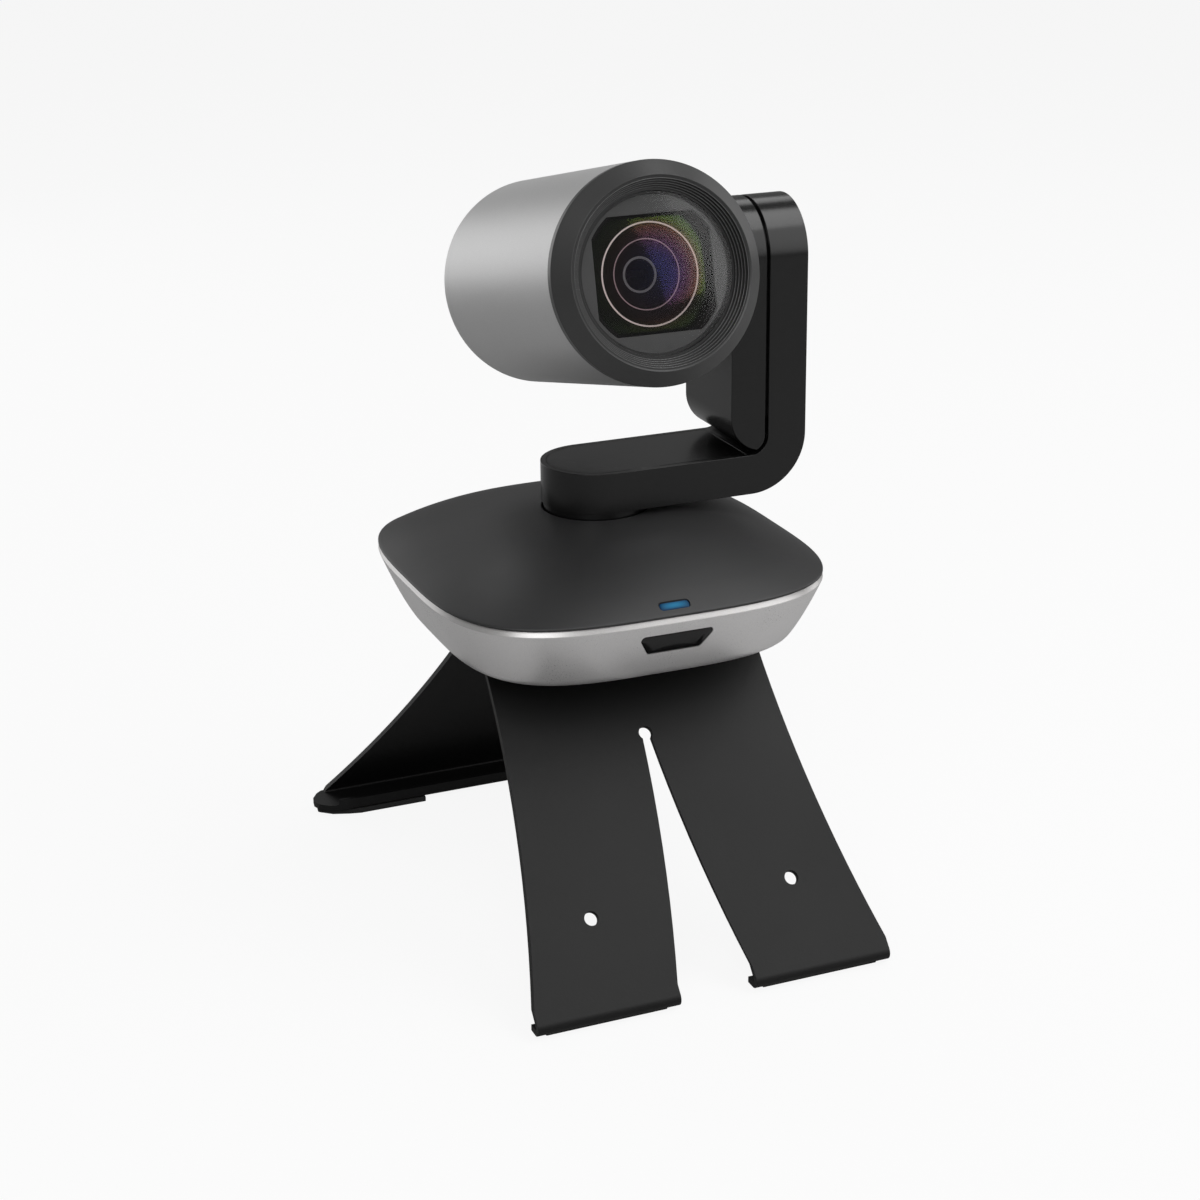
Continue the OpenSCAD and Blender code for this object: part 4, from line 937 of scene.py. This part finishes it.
def ring_tree():
    tree = bpy.data.node_groups.new("stepped_rings", "GeometryNodeTree")
    for name, kind in INPUTS.items():
        tree.interface.new_socket(name, in_out="INPUT", socket_type="NodeSocket" + kind)
    tree.interface.new_socket("Geometry", in_out="OUTPUT", socket_type="NodeSocketGeometry")
    start, end = tree.nodes.new("NodeGroupInput"), tree.nodes.new("NodeGroupOutput")
    given = {name: Value(tree, start.outputs[name]) for name in INPUTS}
    offset = make(tree, "ShaderNodeCombineXYZ", None, {"Z": given["Depth Step"]})
    line = make(tree, "GeometryNodeMeshLine", None, {"Count": given["Count"], "Offset": offset})
    circle = make(tree, "GeometryNodeCurvePrimitiveCircle", None, {"Resolution": AROUND_LENS, "Radius": 1.0})
    size = given["First Radius"] - make(tree, "GeometryNodeInputIndex") * given["Radius Step"]
    rings = make(tree, "GeometryNodeInstanceOnPoints", None,
                 {"Points": line, "Instance": circle, "Scale": size})
    real = make(tree, "GeometryNodeRealizeInstances", None, {"Geometry": rings})
    bead = make(tree, "GeometryNodeCurvePrimitiveCircle", None,
                {"Resolution": 10, "Radius": given["Bead Radius"]})
    solid = make(tree, "GeometryNodeCurveToMesh", None, {"Curve": real, "Profile Curve": bead})
    inked = make(tree, "GeometryNodeSetMaterial", None, {"Geometry": solid, "Material": given["Material"]})
    tree.links.new(inked.socket, end.inputs["Geometry"])
    return tree


rings = ring_tree()
print("ring tree of", len(rings.nodes), "nodes, with inputs", list(INPUTS))

# %% [markdown]
# ## Growing the rings
# Each modifier's inputs are set by their identifiers, and the result becomes a plain mesh before it is
# turned to the lens axis. So each piece stays at the origin, with its place in its own points.

# %% Beads and seat rings
LENS_UPRIGHT = Matrix.Rotation(-math.pi / 2, 4, "X")


def grow_rings(name, y, radius, bead, material, count=1, step_in=0.0, step_back=0.0):
    """Rings round the lens axis from a place y along it, all sizes in millimetres."""
    piece = new_piece(name, bpy.data.meshes.new(name))
    modifier = piece.modifiers.new("grow", "NODES")
    modifier.node_group = rings
    values = dict(zip(INPUTS, (count, radius * MM, step_in * MM, step_back * MM, bead * MM, material)))
    for item in rings.interface.items_tree:
        if item.in_out == "INPUT":
            modifier[item.identifier] = values[item.name]
    apply_modifiers(piece)
    piece.data.transform(HEAD @ Matrix.Translation((0, y * MM, 0)) @ LENS_UPRIGHT)
    smooth(piece)
    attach(piece, "head")
    print(name, "grown:", len(piece.data.polygons), "faces")


# Pale beads along the bezel's step edges: painted highlights.
grow_rings("bezel_step_highlights", FIRST_STEP + 0.02, 27.62, 0.11, bead_highlight_grey, STEPS, STEP_IN, STEP_BACK)
grow_rings("seat_ring_front", -45.0, 15.35, 0.24, ring_bright)
grow_rings("seat_ring_middle", -42.3, 10.5, 0.17, ring_dim)
grow_rings("seat_ring_back", -37.0, 5.1, 0.36, ring_grey)

# %% [markdown]
# ## The barrel and the hidden works
# The barrel is a plain tube with a cap, so its solids only need their edges broken and the silver paint.
# The motors, gears, boards and screws are out of sight in a closed camera, but they show when it is taken
# apart, so each takes the finish of what it is made of, by the same helper.

# %% Barrel and hidden works
WORKS = (
    (silver_head, 0.2, ("barrel_tube", "rear_cap")),
    (soft_black, 0.2, ("zoom_carriage", "focus_carriage", "lens_frame", "image_sensor", "power_socket",
                       "data_socket")),
    (board_green, 0.1, ("main_board", "front_board", "sensor_board")),
    (acetal, 0, ("pan_gear", "tilt_gear")),
    (brass, 0.08, ("tripod_insert", "pan_bearing", "tilt_bearing", "pan_pinion", "tilt_pinion")),
    (steel, 0.1, ("base_screws", "arm_screws", "head_screws", "chassis_plate", "pan_clip", "pan_motor",
                  "tilt_motor", "zoom_motor", "focus_motor", "zoom_screw", "focus_screw", "guide_rods")),
)
for material, bevel, nodes in WORKS:
    for node in nodes:
        dressed(node, material, bevel * MM)

# %% [markdown]
# ## The floor
# The floor is a matt sheet that keeps a soft shadow. A floor lit until it is white would need lamps so
# strong that they bleach the part. Instead, what the camera sees of it is mostly a white glow, by Light
# Path, and to the part it is a mid grey.

# %% Floor
FLOOR_HALF, FLOOR_GREY = 6, 0.40
FLOOR_GLOW, GLOW_SEEN = 1.1, 0.82
floor_mesh = bpy.data.meshes.new("studio_floor")
corners = rectangle(-FLOOR_HALF, -FLOOR_HALF, FLOOR_HALF, FLOOR_HALF)
floor_mesh.from_pydata([(x, y, 0) for x, y in corners], [], [(0, 1, 2, 3)])
floor = new_piece("studio_floor", floor_mesh)
floor_material = bpy.data.materials.new("studio_white")
floor_material.use_nodes = True
tree = floor_material.node_tree
tree.nodes.remove(tree.nodes["Principled BSDF"])
matt = make(tree, "ShaderNodeBsdfDiffuse", None, {"Color": shade(FLOOR_GREY)})
glow = make(tree, "ShaderNodeEmission", None, {"Color": shade(1), "Strength": FLOOR_GLOW})
to_eye = make(tree, "ShaderNodeLightPath", output="Is Camera Ray")
shown = make(tree, "ShaderNodeMixShader", None, {0: to_eye * GLOW_SEEN, 1: matt, 2: glow})
tree.links.new(shown.socket, tree.nodes["Material Output"].inputs["Surface"])
floor_mesh.materials.append(floor_material)
print("floor", 2 * FLOOR_HALF, "m across")

# %% [markdown]
# ## Background and lamps
# The world is white to the camera and through clear glass, and dim to everything else, so it fills the
# shadows without flattening them. Gloss sees it dim too, because a white studio mirrored in the flat window
# would lay a haze over the black lens. The lamps are broad and soft. One on the right is what the front
# element mirrors, and the others draw the bands along the barrel, the bowl and the edges of the arm.

# %% World
WORLD_LIGHT = 0.20
world = bpy.data.worlds.new("studio")
bpy.context.scene.world = world
world.use_nodes = True
tree = world.node_tree
camera_ray = make(tree, "ShaderNodeLightPath", output="Is Camera Ray")
clear_ray = make(tree, "ShaderNodeLightPath", output="Is Transmission Ray")
strength = WORLD_LIGHT + camera_ray.math("MAXIMUM", camera_ray, clear_ray) * (1 - WORLD_LIGHT)
background = tree.nodes["Background"]
background.inputs["Color"].default_value = shade(1)
tree.links.new(strength.socket, background.inputs["Strength"])
print("world at", WORLD_LIGHT, "for the part and 1 for the camera")

# %% Lamps
MIDDLE = Vector((0, 0, 0.17))


def softbox(name, azimuth, elevation, distance, size, power, lean=0.0):
    """A rectangular lamp that faces the part from an azimuth and an elevation in degrees."""
    way = way_to(math.radians(azimuth), math.radians(elevation))
    data = bpy.data.lights.new(name, "AREA")
    data.shape = "RECTANGLE"
    data.size, data.size_y = size
    data.energy = power
    lamp = bpy.data.objects.new(name, data)
    scene_objects.link(lamp)
    lamp.location = MIDDLE + way * distance
    lamp.rotation_mode = "QUATERNION"
    lamp.rotation_quaternion = (-way).to_track_quat("-Z", "Y") @ Quaternion((0, 0, 1), math.radians(lean))


softbox("card_right", 44.5, 25, 1.3, (1.0, 1.15), 5.5, 7)
softbox("front_left", -30, 40, 1.5, (1.0, 1.0), 9.5)
softbox("side_right", 100, 20, 1.4, (0.5, 1.0), 2.4)
softbox("back_left", -156, 6, 1.2, (0.7, 0.66), 2.1)
softbox("back_top", 166, 47, 1.5, (1.2, 0.5), 3.4)
softbox("edge_top", 64, 61, 1.3, (0.8, 0.6), 5)
bpy.context.scene.view_settings.view_transform = "Standard"
print("lamps:", [lamp.name for lamp in bpy.data.lights])

# %% [markdown]
# ## Sizes, and the end
# Dressing the part must not change its size.
